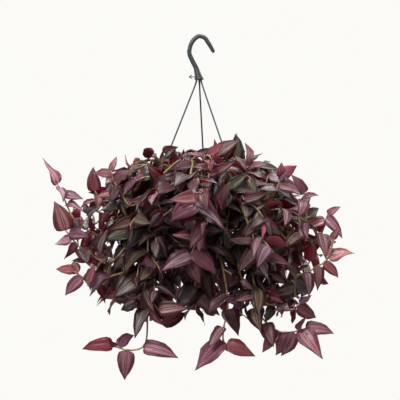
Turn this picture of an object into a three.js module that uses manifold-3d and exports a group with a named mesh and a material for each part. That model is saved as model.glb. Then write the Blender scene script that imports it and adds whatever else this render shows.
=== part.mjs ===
// A hanging pot of purple-leaved tradescantia, with its plastic hanger.
//
// Millimetres, +Z up. The origin is the highest point inside the hook's crook, where a rail
// carries the whole plant. -Y is the side that the plant shows best, and +X is to its right.
//
// The pot, the soil, the hook and the three strands are made things. Each leafy shoot stands in
// its own hole in the soil, and is one body: a stem with all of its leaves grown out of it.

import * as THREE from 'three';
import { mergeVertices } from 'three/addons/utils/BufferGeometryUtils.js';
import Module from 'manifold-3d';

const wasm = await Module();
wasm.setup();

const V = (x, y, z) => new THREE.Vector3(x, y, z);
const UP = V(0, 0, 1);
const TOWARDS_VIEWER = V(0, -1, 0);
const radians = THREE.MathUtils.degToRad;
const FIT_GAP = 0.3; // between two pieces that touch

// ---------------------------------------------------------------- driving dimensions

const RIM_Z = -252; // the pot's rim, below the crook
const POT = {
  rimRadius: 75, bandHeight: 11, bandStep: 3, baseRadius: 51, height: 115, wall: 1.8, floor: 2.4,
};
const DRAIN = { count: 6, radius: 4, ringRadius: 33 };
const SOIL = { below: 14, dome: 3 }; // its edge below the rim, and the rise in its middle

const HOOK = { rod: 3.8, thickRod: 4.3 };
const HUB = { top: -50, bottom: -72, topRadius: 4.2, bottomRadius: 8.2, collar: 3.2 };
const TAG_BARB = { z: -67, rod: 0.7, tip: -17.6, headLength: 5.5, headHalf: 3.4, thickness: 1.6 };

const STRAND = {
  rod: 1.4, rootRadius: 2.1, socketRing: 4.6, socketDepth: 4, earRing: 79.5,
  knob: 3.3, knobLength: 7, azimuths: { right: -37.4, back: 82.6, left: 202.6 },
};
const EAR = { length: 13, width: 12, thickness: 3, below: 4, hole: 1.95 };

const STEM = {
  baseRadius: 2.1, tipRadius: 1.35, band: 3, socket: 2.5, zigzag: 1.3,
  rootDepth: 12, rootSpacing: 8.5, bareLength: 62, leastBend: 12, clearance: 1.7,
};
const LEAF = {
  thickness: 1.2, neck: 1.7, fold: 0.22, curl: 0.55, slenderness: 0.24,
  // Share of the length, and the half-width there as a share of the widest.
  stations: [[0.3, 0.97], [0.65, 0.72]],
  leastAngle: 46, mostAngle: 116, endAngle: 38, // from the stem, and from its end
};
const CLEARANCE = 1; // kept round each new stem and leaf as it grows
const TRIES = { stem: 150, leaf: 70, shorterAfter: 40 };
const SEED = 81;

const COLOURS = { pot: 0x26282a, hanger: 0x3b4244, soil: 0x2b1d14, foliage: 0x55313c };

// ---------------------------------------------------------------- shared tools

// A seeded generator of numbers from 0 to 1, so that the plant grows alike each time.
function seeded(seed) {
  let state = seed >>> 0;
  return () => {
    state = (state + 0x6d2b79f5) >>> 0;
    let t = Math.imul(state ^ (state >>> 15), state | 1);
    t = (t + Math.imul(t ^ (t >>> 7), t | 61)) ^ t;
    return ((t ^ (t >>> 14)) >>> 0) / 4294967296;
  };
}

const between = (random, low, high) => low + (high - low) * random();
const anyway = (random) => V(random() - 0.5, random() - 0.5, random() - 0.5);

function geometryOf(points, faces) {
  const geometry = new THREE.BufferGeometry().setFromPoints(points);
  geometry.setIndex(faces.flat());
  geometry.computeVertexNormals();
  return geometry;
}

function solidOf(geometry) {
  const bare = geometry.clone();
  bare.deleteAttribute('normal');
  bare.deleteAttribute('uv');
  const merged = mergeVertices(bare, 1e-4);
  return new wasm.Manifold(new wasm.Mesh({
    numProp: 3,
    vertProperties: new Float32Array(merged.attributes.position.array),
    triVerts: new Uint32Array(merged.index.array),
  }));
}

function geometryFrom(solid) {
  const mesh = solid.getMesh();
  const geometry = new THREE.BufferGeometry();
  const positions = new Float32Array(mesh.numVert * 3);
  for (let i = 0; i < mesh.numVert; i++) {
    positions.set(mesh.vertProperties.subarray(i * mesh.numProp, i * mesh.numProp + 3), i * 3);
  }
  geometry.setAttribute('position', new THREE.BufferAttribute(positions, 3));
  geometry.setIndex(new THREE.BufferAttribute(mesh.triVerts, 1));
  geometry.computeVertexNormals();
  return geometry;
}

const polar = (radius, azimuth, z) => V(
  radius * Math.cos(radians(azimuth)), radius * Math.sin(radians(azimuth)), z);

// The part of v that is square to the unit vector axis, made one long.
const squareTo = (v, axis) => v.clone().addScaledVector(axis, -v.dot(axis)).normalize();

// A closed round bar along points, with its own radius at each of them.
function bar(points, radii, sides) {
  const rings = [];
  let across = null;
  points.forEach((point, i) => {
    const along = points[Math.min(i + 1, points.length - 1)].clone()
      .sub(points[Math.max(i - 1, 0)]).normalize();
    across = squareTo(across ?? (Math.abs(along.z) > 0.9 ? V(1, 0, 0) : UP), along);
    const other = along.clone().cross(across);
    for (let k = 0; k < sides; k++) {
      const turn = (2 * Math.PI * (k + 0.5)) / sides;
      rings.push(point.clone().addScaledVector(across, radii[i] * Math.cos(turn))
        .addScaledVector(other, radii[i] * Math.sin(turn)));
    }
  });
  const faces = [];
  for (let i = 0; i + 1 < points.length; i++) {
    for (let k = 0; k < sides; k++) {
      const a = i * sides + k, b = i * sides + (k + 1) % sides;
      faces.push([a, b, b + sides], [a, b + sides, a + sides]);
    }
  }
  const last = (points.length - 1) * sides;
  for (let k = 1; k + 1 < sides; k++) {
    faces.push([0, k + 1, k], [last, last + k, last + k + 1]);
  }
  return geometryOf(rings, faces);
}

// A turned solid about Z. The profile runs up its outside, as [radius, height] pairs.
function turned(profile, segments) {
  const lathe = new THREE.LatheGeometry(profile.map(([r, z]) => new THREE.Vector2(r, z)), segments);
  return lathe.rotateX(Math.PI / 2);
}

// ---------------------------------------------------------------- pot

const BAND_RADIUS = POT.rimRadius - POT.bandStep; // the wall's radius just under the rim's band
const FLOOR_Z = RIM_Z - POT.height;
const bandFoot = RIM_Z - POT.bandHeight;

// The outer radius of the pot's wall at a height.
function potRadius(z) {
  if (z > bandFoot) return POT.rimRadius;
  return THREE.MathUtils.mapLinear(z, FLOOR_Z, bandFoot, POT.baseRadius, BAND_RADIUS);
}

function pot() {
  const inside = (z) => THREE.MathUtils.mapLinear(
    z, FLOOR_Z, bandFoot, POT.baseRadius - POT.wall, BAND_RADIUS - POT.wall);
  const shell = solidOf(turned([
    [0, FLOOR_Z], [POT.baseRadius - 2, FLOOR_Z], [POT.baseRadius, FLOOR_Z + 2],
    [BAND_RADIUS, bandFoot], [POT.rimRadius - 0.6, bandFoot], [POT.rimRadius, RIM_Z - 1.5],
    [POT.rimRadius - 1.5, RIM_Z], [inside(RIM_Z), RIM_Z - 1],
    [inside(FLOOR_Z + POT.floor), FLOOR_Z + POT.floor], [0, FLOOR_Z + POT.floor],
  ], 24));
  const holes = [];
  for (let i = 0; i < DRAIN.count; i++) {
    const hole = new THREE.CylinderGeometry(DRAIN.radius, DRAIN.radius, 4 * POT.floor, 8)
      .rotateX(Math.PI / 2);
    const at = polar(DRAIN.ringRadius, (360 * i) / DRAIN.count + 15, FLOOR_Z);
    holes.push(solidOf(hole.translate(at.x, at.y, at.z)));
  }
  const ears = Object.values(STRAND.azimuths).map(ear);
  return geometryFrom(wasm.Manifold.union([shell, ...ears]).subtract(wasm.Manifold.union(holes)));
}

// A lug on the rim's band, with the hole that a strand's end snaps through.
function ear(azimuth) {
  const start = POT.rimRadius - 2;
  const lug = new THREE.BoxGeometry(EAR.length, EAR.width, EAR.thickness)
    .translate(start + EAR.length / 2, 0, earMiddle);
  const hole = new THREE.CylinderGeometry(EAR.hole, EAR.hole, 3 * EAR.thickness, 8)
    .rotateX(Math.PI / 2).translate(STRAND.earRing, 0, earMiddle);
  return solidOf(lug.rotateZ(radians(azimuth)))
    .subtract(solidOf(hole.rotateZ(radians(azimuth))));
}
const earMiddle = RIM_Z - EAR.below - EAR.thickness / 2;

// ---------------------------------------------------------------- soil

const SOIL_Z = RIM_Z - SOIL.below;

// The packed soil, with a plain hole for each stem. It keeps clear of the pot's wall.
function soil(roots) {
  const inside = (z) => potRadius(z) - POT.wall - FIT_GAP - 0.3;
  const low = FLOOR_Z + POT.floor + FIT_GAP;
  const ball = solidOf(turned([
    [0, low], [inside(low) - 1, low], [inside(SOIL_Z), SOIL_Z - 1],
    [inside(SOIL_Z) * 0.96, SOIL_Z], [0, SOIL_Z + SOIL.dome],
  ], 24));
  const reach = STEM.rootDepth + 8;
  const holes = roots.map((root) => {
    const radius = (STEM.baseRadius + FIT_GAP) * 1.42;
    const hole = new THREE.CylinderGeometry(radius, radius, reach, 4).rotateX(Math.PI / 2);
    return solidOf(hole.translate(root.x, root.y, SOIL_Z - STEM.rootDepth + reach / 2));
  });
  return geometryFrom(ball.subtract(wasm.Manifold.union(holes)));
}

// ---------------------------------------------------------------- hanger

// The crook and its shank, up from the hub and round to the free end.
const crookLine = new THREE.CatmullRomCurve3([
  V(0, 0, -60), V(-5.5, 0, -50.5), V(-12.5, 0, -37), V(-16.8, 0, -25.5), V(-15.2, 0, -13.5),
  V(-9.5, 0, -3), V(0, 0, HOOK.rod), V(9.5, 0, 1.2), V(16, 0, -7.5), V(26.5, 0, -25),
], false, 'centripetal');

function hook() {
  const steps = 18;
  const line = crookLine.getSpacedPoints(steps);
  const radii = line.map((_, i) => {
    if (i === steps) return HOOK.rod * 0.72;
    return THREE.MathUtils.lerp(HOOK.thickRod, HOOK.rod, Math.min(1, (2 * i) / steps));
  });
  const hub = turned([
    [0, HUB.bottom], [HUB.bottomRadius - 0.6, HUB.bottom],
    [HUB.bottomRadius, HUB.bottom + 0.6], [HUB.bottomRadius, HUB.bottom + HUB.collar],
    [HUB.bottomRadius - 1, HUB.bottom + HUB.collar], [HUB.topRadius, HUB.top], [0, HUB.top],
  ], 12);
  const sockets = Object.values(STRAND.azimuths).map((azimuth) => {
    const radius = STRAND.rootRadius + FIT_GAP + 0.15;
    const socket = new THREE.CylinderGeometry(radius, radius, 2 * STRAND.socketDepth, 8);
    const at = polar(STRAND.socketRing, azimuth, HUB.bottom);
    return solidOf(socket.rotateX(Math.PI / 2).translate(at.x, at.y, at.z));
  });
  const body = wasm.Manifold.union([solidOf(bar(line, radii, 8)), solidOf(hub), tagBarb()]);
  return geometryFrom(body.subtract(wasm.Manifold.union(sockets)));
}

// The small arrow that holds a paper tag, out to the left of the hub.
function tagBarb() {
  const { z, tip, headLength, headHalf, thickness, rod } = TAG_BARB;
  const outline = new THREE.Shape([
    [tip, z], [tip + headLength, z + headHalf], [tip + headLength * 0.7, z + rod],
    [-HUB.topRadius, z + rod], [-HUB.topRadius, z - rod],
    [tip + headLength * 0.7, z - rod], [tip + headLength, z - headHalf],
  ].map(([x, y]) => new THREE.Vector2(x, y)));
  const arrow = new THREE.ExtrudeGeometry(outline, { depth: thickness, bevelEnabled: false });
  return solidOf(arrow.rotateX(Math.PI / 2).translate(0, thickness / 2, 0));
}

// One strand's line, from its socket in the hub down to below its ear on the rim.
function strandLine(azimuth) {
  const at = (radius, z) => polar(radius, azimuth, z);
  const earTop = earMiddle + EAR.thickness / 2;
  const earFoot = earMiddle - EAR.thickness / 2;
  return [
    at(STRAND.socketRing, HUB.bottom + STRAND.socketDepth - FIT_GAP),
    at(STRAND.socketRing, HUB.bottom - 1), at(STRAND.socketRing + 1.4, HUB.bottom - 6),
    at(STRAND.socketRing + 4.5, HUB.bottom - 14), at(STRAND.earRing - 2.2, earTop + 9),
    at(STRAND.earRing, earTop + 3), at(STRAND.earRing, earFoot - FIT_GAP),
    at(STRAND.earRing, earFoot - FIT_GAP - 0.6),
    at(STRAND.earRing, earFoot - FIT_GAP - STRAND.knobLength),
  ];
}

function strand(azimuth) {
  const { rootRadius, rod, knob } = STRAND;
  return bar(strandLine(azimuth),
    [rootRadius, rootRadius, rod * 1.25, rod, rod, rod, rod, knob, rod * 0.5], 6);
}

// ---------------------------------------------------------------- growing clear of each other

// Everything grown so far, as plain triangles with a box round each piece.
const grown = [];

// points is a list of vectors, and faces a list of triples of their indices.
function outlined(points, faces, shoot, node) {
  const box = new THREE.Box3().setFromPoints(points);
  const flat = faces.map((face) => face.flatMap((i) => points[i].toArray()));
  return { box, flat, shoot, node };
}

// Whether the segment from a to b, corners of a flat triangle s, goes through the triangle t.
function pierces(s, a, b, t) {
  const ox = s[a], oy = s[a + 1], oz = s[a + 2];
  const dx = s[b] - ox, dy = s[b + 1] - oy, dz = s[b + 2] - oz;
  const e1x = t[3] - t[0], e1y = t[4] - t[1], e1z = t[5] - t[2];
  const e2x = t[6] - t[0], e2y = t[7] - t[1], e2z = t[8] - t[2];
  const px = dy * e2z - dz * e2y, py = dz * e2x - dx * e2z, pz = dx * e2y - dy * e2x;
  const det = e1x * px + e1y * py + e1z * pz;
  if (Math.abs(det) < 1e-12) return false;
  const tx = ox - t[0], ty = oy - t[1], tz = oz - t[2];
  const u = (tx * px + ty * py + tz * pz) / det;
  if (u < 0 || u > 1) return false;
  const qx = ty * e1z - tz * e1y, qy = tz * e1x - tx * e1z, qz = tx * e1y - ty * e1x;
  const v = (dx * qx + dy * qy + dz * qz) / det;
  if (v < 0 || u + v > 1) return false;
  const along = (e2x * qx + e2y * qy + e2z * qz) / det;
  return along >= 0 && along <= 1;
}

function apart(s, t, axis) {
  return Math.max(s[axis], s[axis + 3], s[axis + 6]) < Math.min(t[axis], t[axis + 3], t[axis + 6])
    || Math.min(s[axis], s[axis + 3], s[axis + 6]) > Math.max(t[axis], t[axis + 3], t[axis + 6]);
}

function crosses(one, other) {
  if (!one.box.intersectsBox(other.box)) return false;
  for (const s of one.flat) {
    for (const t of other.flat) {
      if (apart(s, t, 0) || apart(s, t, 1) || apart(s, t, 2)) continue;
      for (const [a, b] of [[0, 3], [3, 6], [6, 0]]) {
        if (pierces(s, a, b, t) || pierces(t, a, b, s)) return true;
      }
    }
  }
  return false;
}

// Whether a point lies in the pot, or within a margin of it.
function inPot(p, margin) {
  if (p.z > RIM_Z + margin || p.z < FLOOR_Z - margin) return false;
  return Math.hypot(p.x, p.y) < potRadius(p.z) + margin;
}

// The skins that nothing may grow through: round the pot's wall and rim, its ears, its strands.
function fence() {
  const far = CLEARANCE + 1.6;
  const wall = turned([
    [0, FLOOR_Z - far], [POT.baseRadius + far, FLOOR_Z - far], [BAND_RADIUS + far, bandFoot - far],
    [POT.rimRadius + far, bandFoot - far], [POT.rimRadius + far, RIM_Z + far],
    [BAND_RADIUS - POT.wall - far, RIM_Z + far], [BAND_RADIUS - POT.wall - far, SOIL_Z],
    [0, SOIL_Z],
  ], 16);
  const lugs = Object.values(STRAND.azimuths).map((azimuth) => new THREE.BoxGeometry(
    EAR.length + far, EAR.width + 2 * far, EAR.thickness + STRAND.knobLength + 2 * far)
    .translate(POT.rimRadius + EAR.length / 2, 0, earMiddle - STRAND.knobLength / 2)
    .rotateZ(radians(azimuth)));
  [wall, ...lugs].forEach((geometry) => {
    const at = geometry.attributes.position, corners = geometry.index.array;
    const point = (i) => new THREE.Vector3().fromBufferAttribute(at, i);
    for (let i = 0; i < corners.length; i += 12) {
      const some = [...corners.slice(i, i + 12)].map(point);
      const faces = [0, 3, 6, 9].filter((k) => k < some.length).map((k) => [k, k + 1, k + 2]);
      grown.push(outlined(some, faces, -1, -1));
    }
  });
  Object.values(STRAND.azimuths).forEach((azimuth) => {
    const line = strandLine(azimuth);
    line.slice(1).forEach((point, i) => grown.push(
      stemOutline(line[i], point, STRAND.rod + 0.8, -1, -1)));
  });
}

function isClear(piece, except = () => false) {
  return !grown.some((other) => !except(other) && crosses(piece, other));
}

// ---------------------------------------------------------------- leaves

// The rings of a blade: left edge, top of the midrib, right edge, underside. The blade starts
// along `along`, faces `face`, and bends down its length. `spare` makes it larger all round.
function bladeRings(base, along, face, length, spare = 0) {
  const right = along.clone().cross(face);
  const half = length * LEAF.slenderness + spare;
  const rings = LEAF.stations.map(([share, width]) => {
    const bend = LEAF.curl * share;
    const rib = base.clone()
      .addScaledVector(along, (length * Math.sin(bend)) / LEAF.curl)
      .addScaledVector(face, (-length * (1 - Math.cos(bend))) / LEAF.curl);
    const up = face.clone().multiplyScalar(Math.cos(bend)).addScaledVector(along, Math.sin(bend));
    const reach = half * width;
    const thick = LEAF.thickness / 2 + spare;
    const edge = (side) => rib.clone().addScaledVector(right, side * reach)
      .addScaledVector(up, LEAF.fold * reach);
    return [edge(-1), rib.clone().addScaledVector(up, thick),
      edge(1), rib.clone().addScaledVector(up, -thick)];
  });
  const tip = base.clone()
    .addScaledVector(along, (length * Math.sin(LEAF.curl)) / LEAF.curl + spare)
    .addScaledVector(face, (-length * (1 - Math.cos(LEAF.curl))) / LEAF.curl);
  const neck = LEAF.neck + spare;
  const foot = [[right, -neck], [face, neck], [right, neck], [face, -neck]]
    .map(([way, reach]) => base.clone().addScaledVector(way, reach));
  return { rings, tip, foot };
}

// The faces between two rings of a blade, split alike above and below.
function bladeFaces(a, b) {
  return [
    [a, a + 1, b + 1], [a, b + 1, b], [a + 1, a + 2, b + 1], [a + 2, b + 2, b + 1],
    [a + 2, a + 3, b + 3], [a + 2, b + 3, b + 2], [a + 3, a, b + 3], [a, b, b + 3],
  ];
}

// A blade and its neck by themselves, for the test of what they would cross.
function bladeOutline(blade, shoot, node) {
  const points = [...blade.foot, ...blade.rings.flat(), blade.tip];
  const last = 4 * blade.rings.length, tip = last + 4;
  const faces = [[0, 2, 1], [0, 3, 2]];
  for (let i = 0; i < last; i += 4) faces.push(...bladeFaces(i, i + 4));
  for (let i = 0; i < 4; i++) faces.push([last + i, last + (i + 1) % 4, tip]);
  return outlined(points, faces, shoot, node);
}

// ---------------------------------------------------------------- stems

function stemOutline(a, b, radius, shoot, node) {
  const along = b.clone().sub(a).normalize();
  const u = squareTo(Math.abs(along.z) > 0.8 ? V(1, 0, 0) : UP, along);
  const v = along.clone().cross(u);
  const points = [a, b].flatMap((p) => [[1, 0], [0, 1], [-1, 0], [0, -1]].map(([i, j]) => p.clone()
    .addScaledVector(u, i * radius * 1.42).addScaledVector(v, j * radius * 1.42)));
  const faces = [0, 1, 2, 3].flatMap((i) => {
    const next = (i + 1) % 4;
    return [[i, next, next + 4], [i, next + 4, i + 4]];
  });
  return outlined(points, faces, shoot, node);
}

// The leaves' places along a shoot, as distances back from its tip: close near the tip, where
// the shoot is young, and wider apart towards the root.
function internodes(length, random) {
  const places = [0, 9, 21];
  let gap = 20;
  while (places.at(-1) + gap < length - STEM.bareLength) {
    places.push(places.at(-1) + gap);
    gap = Math.min(gap + 7, 38) * between(random, 0.9, 1.1);
  }
  return places;
}

// Sets the shoot's joints along its route: where each is, and which way the stem goes there.
// A joint with no leaf is bare: two in the soil's hole, and two where the stem clears the rim.
function layStem({ route, fan = [], random }) {
  const curve = new THREE.CatmullRomCurve3(route, false, 'centripetal');
  const length = curve.getLength();
  const shown = fan.map(([place]) => place);
  const further = internodes(length, random).filter(
    (place) => shown.length === 0 || place > Math.max(...shown) + 12);
  const leafy = [...shown, ...further].sort((a, b) => b - a).map((place, i) => {
    const share = 1 - place / length;
    const way = curve.getTangentAt(share);
    const sideways = squareTo(V(way.y, -way.x, 0.001), way);
    const shift = place > 20 ? STEM.zigzag * (i % 2 ? 1 : -1) : 0;
    return { at: curve.getPointAt(share).addScaledVector(sideways, shift), place };
  });
  let gone = 0;
  const crest = route.slice(1, 3).map((at, i) => {
    gone += at.distanceTo(route[i]);
    return { at: at.clone(), place: length - gone, bare: true };
  });
  const [root] = route;
  const joints = [
    { at: V(root.x, root.y, SOIL_Z - STEM.rootDepth + FIT_GAP), bare: true },
    { at: root.clone(), bare: true },
    ...crest.filter((joint) => joint.place > leafy[0].place + STEM.leastBend), ...leafy,
  ];
  joints.forEach((joint, i) => {
    const before = joints[Math.max(i - 1, 0)].at;
    const after = joints[Math.min(i + 1, joints.length - 1)].at;
    joint.along = i === 0 ? UP.clone() : after.clone().sub(before).normalize();
    joint.radius = THREE.MathUtils.lerp(STEM.baseRadius, STEM.tipRadius, i / (joints.length - 1));
  });
  return joints;
}

function stemPieces(joints, shoot, spare) {
  return joints.slice(1).map((joint, i) => stemOutline(
    joints[i].at, joint.at, joints[i].radius + spare, shoot, i));
}

// ---------------------------------------------------------------- where the shoots go

// Each layer of shoots, from the hanging outer ones to the crown. Radii are from the pot's
// axis and heights from the hook. The line is crest, middle points and tip, as [radius, z].
const LAYERS = {
  under: { count: 4, root: 55, line: [[84, -239], [99, -300], [100, -380], [86, -450]] },
  fringe: { count: 9, root: 53, line: [[88, -234], [112, -310], [134, -410], [158, -468]] },
  skirt: { count: 9, root: 49, line: [[90, -227], [132, -300], [172, -388], [205, -410]] },
  spread: { count: 9, root: 42, line: [[92, -219], [150, -276], [203, -340], [228, -322]] },
  arch: { count: 8, root: 33, line: [[84, -211], [140, -232], [190, -276], [208, -252]] },
  shoulder: { count: 7, root: 23, line: [[56, -220], [104, -212], [136, -226]] },
  crown: { count: 3, root: 12, line: [[24, -238], [58, -224]] },
};

// The shoots that show best against the background. Each has its line after the crest, and its
// last leaves. A point is [x, y, z] with x and z as the viewer sees them. A leaf is [distance
// back from the tip, angle, length]: the angle is as seen, 0 to the right and 90 up.
const SHOWN = [
  { layer: 'fringe', line: [[-78, -100, -380], [-86, -112, -450], [-91, -114, -480],
    [-94, -114, -510], [-94, -113, -531], [-101, -112, -543], [-121, -110, -547],
    [-136, -108, -543], [-152, -106, -538]],
    fan: [[0, 176, 54], [6, 131, 20], [13, 56, 46], [26, -97, 50], [56, -11, 62],
      [118, -110, 54], [142, -20, 50]] },
  { layer: 'fringe', line: [[34, -112, -360], [51, -122, -457], [47, -124, -489],
    [42, -124, -517], [43, -124, -531], [48, -124, -536]],
    fan: [[0, -18, 54], [7, 220, 70], [30, -110, 44], [62, -72, 50], [86, 215, 48]] },
  { layer: 'fringe', line: [[66, -96, -380], [89, -106, -457], [103, -108, -478],
    [117, -109, -496], [133, -109, -510], [150, -108, -515], [170, -107, -513], [187, -106, -508]],
    fan: [[0, 2, 50], [6, -55, 62], [13, 25, 30], [22, 222, 46], [34, 244, 50], [48, 230, 44],
      [72, -75, 44], [104, -60, 50]] },
  { layer: 'spread', line: [[-100, -40, -300], [-142, -60, -352], [-173, -70, -345],
    [-194, -74, -336], [-212, -76, -324], [-226, -78, -303], [-236, -80, -279], [-248, -82, -254]],
    fan: [[0, 114, 52], [7, -64, 40], [20, -24, 36], [39, -48, 38], [67, -50, 40], [108, 222, 36]] },
  { layer: 'spread', line: [[-115, -75, -330], [-152, -100, -391], [-173, -106, -384],
    [-191, -108, -378], [-208, -110, -366], [-222, -110, -350], [-234, -110, -335]],
    fan: [[0, 103, 53], [9, -35, 38], [18, 197, 36], [27, 236, 32], [40, -40, 42], [62, 120, 36]] },
  { layer: 'shoulder', line: [[-26, -44, -236], [-37, -62, -230], [-45, -74, -221]],
    fan: [[0, 69, 44], [6, 122, 38], [12, 8, 36], [18, 160, 36], [26, -80, 42]] },
  { layer: 'skirt', line: [[112, -62, -320], [150, -76, -395], [177, -82, -415],
    [200, -86, -401], [217, -88, -394], [229, -90, -378], [234, -90, -363], [233, -90, -350]],
    fan: [[0, 35, 22], [8, 112, 24], [34, 50, 54], [44, -42, 36], [56, 227, 42], [78, -96, 44],
      [100, 140, 46]] },
  { layer: 'spread', line: [[124, -24, -290], [162, -36, -362], [186, -44, -370],
    [201, -48, -359], [212, -50, -345], [219, -52, -329], [226, -54, -307]],
    fan: [[0, 37, 26], [6, -45, 46], [12, 208, 44], [20, 160, 32], [36, -111, 52], [58, 140, 40]] },
  { layer: 'shoulder', line: [[40, -54, -241], [66, -67, -237], [80, -73, -232], [87, -75, -221]],
    fan: [[0, 91, 44], [6, 28, 44], [12, 122, 40], [18, -28, 34], [26, 188, 40]] },
  { layer: 'arch', line: [[74, -104, -300], [50, -124, -338], [28, -130, -314],
    [21, -127, -282], [17, -120, -245], [17, -112, -212]],
    fan: [[0, 52, 50], [6, 130, 26], [14, 172, 36], [24, 25, 52], [34, -86, 42], [66, -50, 60],
      [84, 240, 48]] },
  { layer: 'arch', line: [[-106, -40, -262], [-138, -56, -296], [-159, -60, -293],
    [-173, -62, -282], [-182, -62, -266]],
    fan: [[0, 100, 42], [8, 243, 34], [20, 222, 36], [34, -60, 40], [50, 140, 36]] },
  { layer: 'skirt', line: [[80, -100, -350], [110, -116, -457], [138, -116, -468],
    [164, -118, -475], [177, -118, -464]],
    fan: [[0, 42, 26], [6, -32, 46], [12, 100, 24], [22, 158, 40], [42, -80, 46], [66, 20, 54]] },
  { layer: 'arch', line: [[122, -50, -280], [148, -80, -348], [168, -90, -349],
    [182, -94, -333], [189, -96, -314], [185, -98, -289], [184, -98, -270]],
    fan: [[0, 120, 40], [6, 18, 24], [14, -86, 42], [26, 175, 34], [50, -98, 38], [72, 185, 44]] },
  { layer: 'skirt', line: [[-100, -88, -330], [-121, -118, -401], [-152, -128, -415],
    [-173, -130, -429], [-191, -130, -429], [-206, -130, -417], [-220, -130, -406]],
    fan: [[0, 168, 30], [8, 132, 34], [17, 223, 44], [30, 62, 34], [46, -62, 36], [74, 211, 64]] },
  { layer: 'arch', line: [[-80, -88, -262], [-118, -92, -292], [-138, -92, -268],
    [-149, -94, -247], [-154, -94, -230]],
    fan: [[0, 38, 34], [7, 171, 34], [15, 24, 38], [28, -70, 34], [44, 165, 46]] },
  { layer: 'arch', line: [[70, -98, -262], [98, -90, -284], [118, -84, -281], [136, -80, -262],
    [143, -78, -242]],
    fan: [[0, 85, 26], [7, 22, 28], [15, 0, 50], [24, -140, 40], [38, -92, 44]] },
  { layer: 'fringe', line: [[-88, -120, -340], [-92, -140, -410], [-100, -144, -444],
    [-115, -144, -455], [-131, -144, -447]],
    fan: [[0, 200, 42], [10, 134, 36], [24, 188, 56], [42, -96, 44]] },
  { layer: 'skirt', line: [[-16, -126, -290], [-5, -146, -343], [-16, -152, -387]],
    fan: [[0, -62, 46], [7, 201, 58], [14, -32, 58], [34, 165, 50], [54, -10, 50]] },
  { layer: 'skirt', line: [[4, -134, -262], [8, -158, -298], [10, -164, -331]],
    fan: [[0, -110, 44], [8, -123, 60], [18, -25, 50], [38, 200, 48]] },
  { layer: 'spread', line: [[-76, -106, -258], [-70, -124, -290], [-63, -130, -307]],
    fan: [[0, -20, 44], [8, -130, 42], [22, 170, 46], [40, -40, 50]] },
  { layer: 'spread', line: [[72, -128, -290], [96, -148, -350], [104, -154, -390]],
    fan: [[0, -60, 46], [8, -8, 56], [18, 222, 56], [34, 172, 48], [52, -46, 52]] },
];

// Where a point lies whose x and z are given as seen, in the upright plane through the hook.
const VIEW = { distance: 2400, middle: V(1.75, 0, -282), slope: 0.035 };
function seen([x, y, z]) {
  const nearer = 1 + y / VIEW.distance;
  return V(VIEW.middle.x + (x - VIEW.middle.x) * nearer, y,
    VIEW.middle.z - VIEW.slope * y + (z - VIEW.middle.z) * nearer);
}

const azimuthOf = (x, y) => THREE.MathUtils.radToDeg(Math.atan2(y, x));
const turnBetween = (a, b) => Math.abs(((a - b + 540) % 360) - 180);

function shownShoot(entry, random, attempt) {
  const layer = LAYERS[entry.layer];
  const loose = Math.min(1, attempt / 60);
  const [x, y] = entry.line[0];
  const azimuth = azimuthOf(x, y) + between(random, -20, 20) * loose;
  const start = layer.root * between(random, 0.86, 1.04);
  const route = [polar(start, azimuth, SOIL_Z + 6), polar(start + 4, azimuth, RIM_Z + 8)];
  if (entry.layer !== 'shoulder') {
    const [radius, z] = layer.line[0];
    route.push(polar(Math.min(radius, 0.86 * Math.hypot(x, y)), azimuth, z + 8 * random()));
  }
  const shift = between(random, -14, 14) * loose;
  entry.line.forEach(([px, py, pz], i) => route.push(
    seen([px, py + shift * (i + 1 < entry.line.length ? 1 : 0.5), pz])));
  return { layer: entry.layer, azimuth, route, fan: entry.fan };
}

function ruleShoot(name, azimuth, random) {
  const layer = LAYERS[name];
  const turn = azimuth + between(random, -8, 8);
  const swing = between(random, -13, 13); // how far round the tip ends from the crest
  const reach = between(random, 0.92, 1.08);
  const drop = between(random, -14, 14);
  const start = layer.root * between(random, 0.86, 1.02);
  const route = [polar(start, azimuth, SOIL_Z + 6), polar(start + 4, azimuth, RIM_Z + 8)];
  layer.line.forEach(([radius, z], i) => {
    const share = i / (layer.line.length - 1);
    route.push(polar(radius * THREE.MathUtils.lerp(1, reach, share), turn + swing * share,
      z + drop * share + between(random, -2.5, 2.5)));
  });
  return { layer: name, azimuth, route };
}

// ---------------------------------------------------------------- growing the plant

// A stem has to be clear of the pot's rim and wall, the strands and every other stem, and its
// root of every other root.
function stemIsClear(joints, shoots) {
  const root = joints[0].at;
  if (shoots.some((other) => other.joints[0].at.distanceTo(root) < STEM.rootSpacing)) return false;
  const aboveSoil = stemPieces(joints, 0, 0).slice(1);
  return aboveSoil.every((piece) => isClear(piece, (other) => other.shoot >= 0))
    && stemPieces(joints, 0, STEM.clearance).every(
      (piece) => isClear(piece, (other) => other.shoot < 0));
}

// Grows every stem. Each has random numbers of its own, so that one can change by itself.
function growStems() {
  const shoots = [];
  let tried = 0;
  const tryShoot = (make) => {
    tried += 1;
    const random = seeded(SEED * 1000 + tried);
    for (let attempt = 0; attempt < TRIES.stem; attempt++) {
      const shoot = { ...make(attempt, random), random };
      shoot.joints = layStem(shoot);
      if (!stemIsClear(shoot.joints, shoots)) continue;
      grown.push(...stemPieces(shoot.joints, shoots.length, 0.4));
      shoots.push(shoot);
      return;
    }
  };
  SHOWN.forEach((entry) => tryShoot((attempt, random) => shownShoot(entry, random, attempt)));
  Object.entries(LAYERS).forEach(([name, layer], level) => {
    const step = 360 / layer.count;
    for (let i = 0; i < layer.count; i++) {
      const azimuth = step * (i + 0.5 * (level % 2)) + 9 * level;
      const taken = shoots.some((other) => other.fan && other.layer === name
        && turnBetween(other.azimuth, azimuth) < 0.5 * step);
      if (taken) continue;
      tryShoot((attempt, random) => {
        const aside = (attempt / TRIES.stem) * 0.5 * step;
        return ruleShoot(name, azimuth + (attempt % 2 ? aside : -aside), random);
      });
    }
  });
  return shoots;
}

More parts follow.
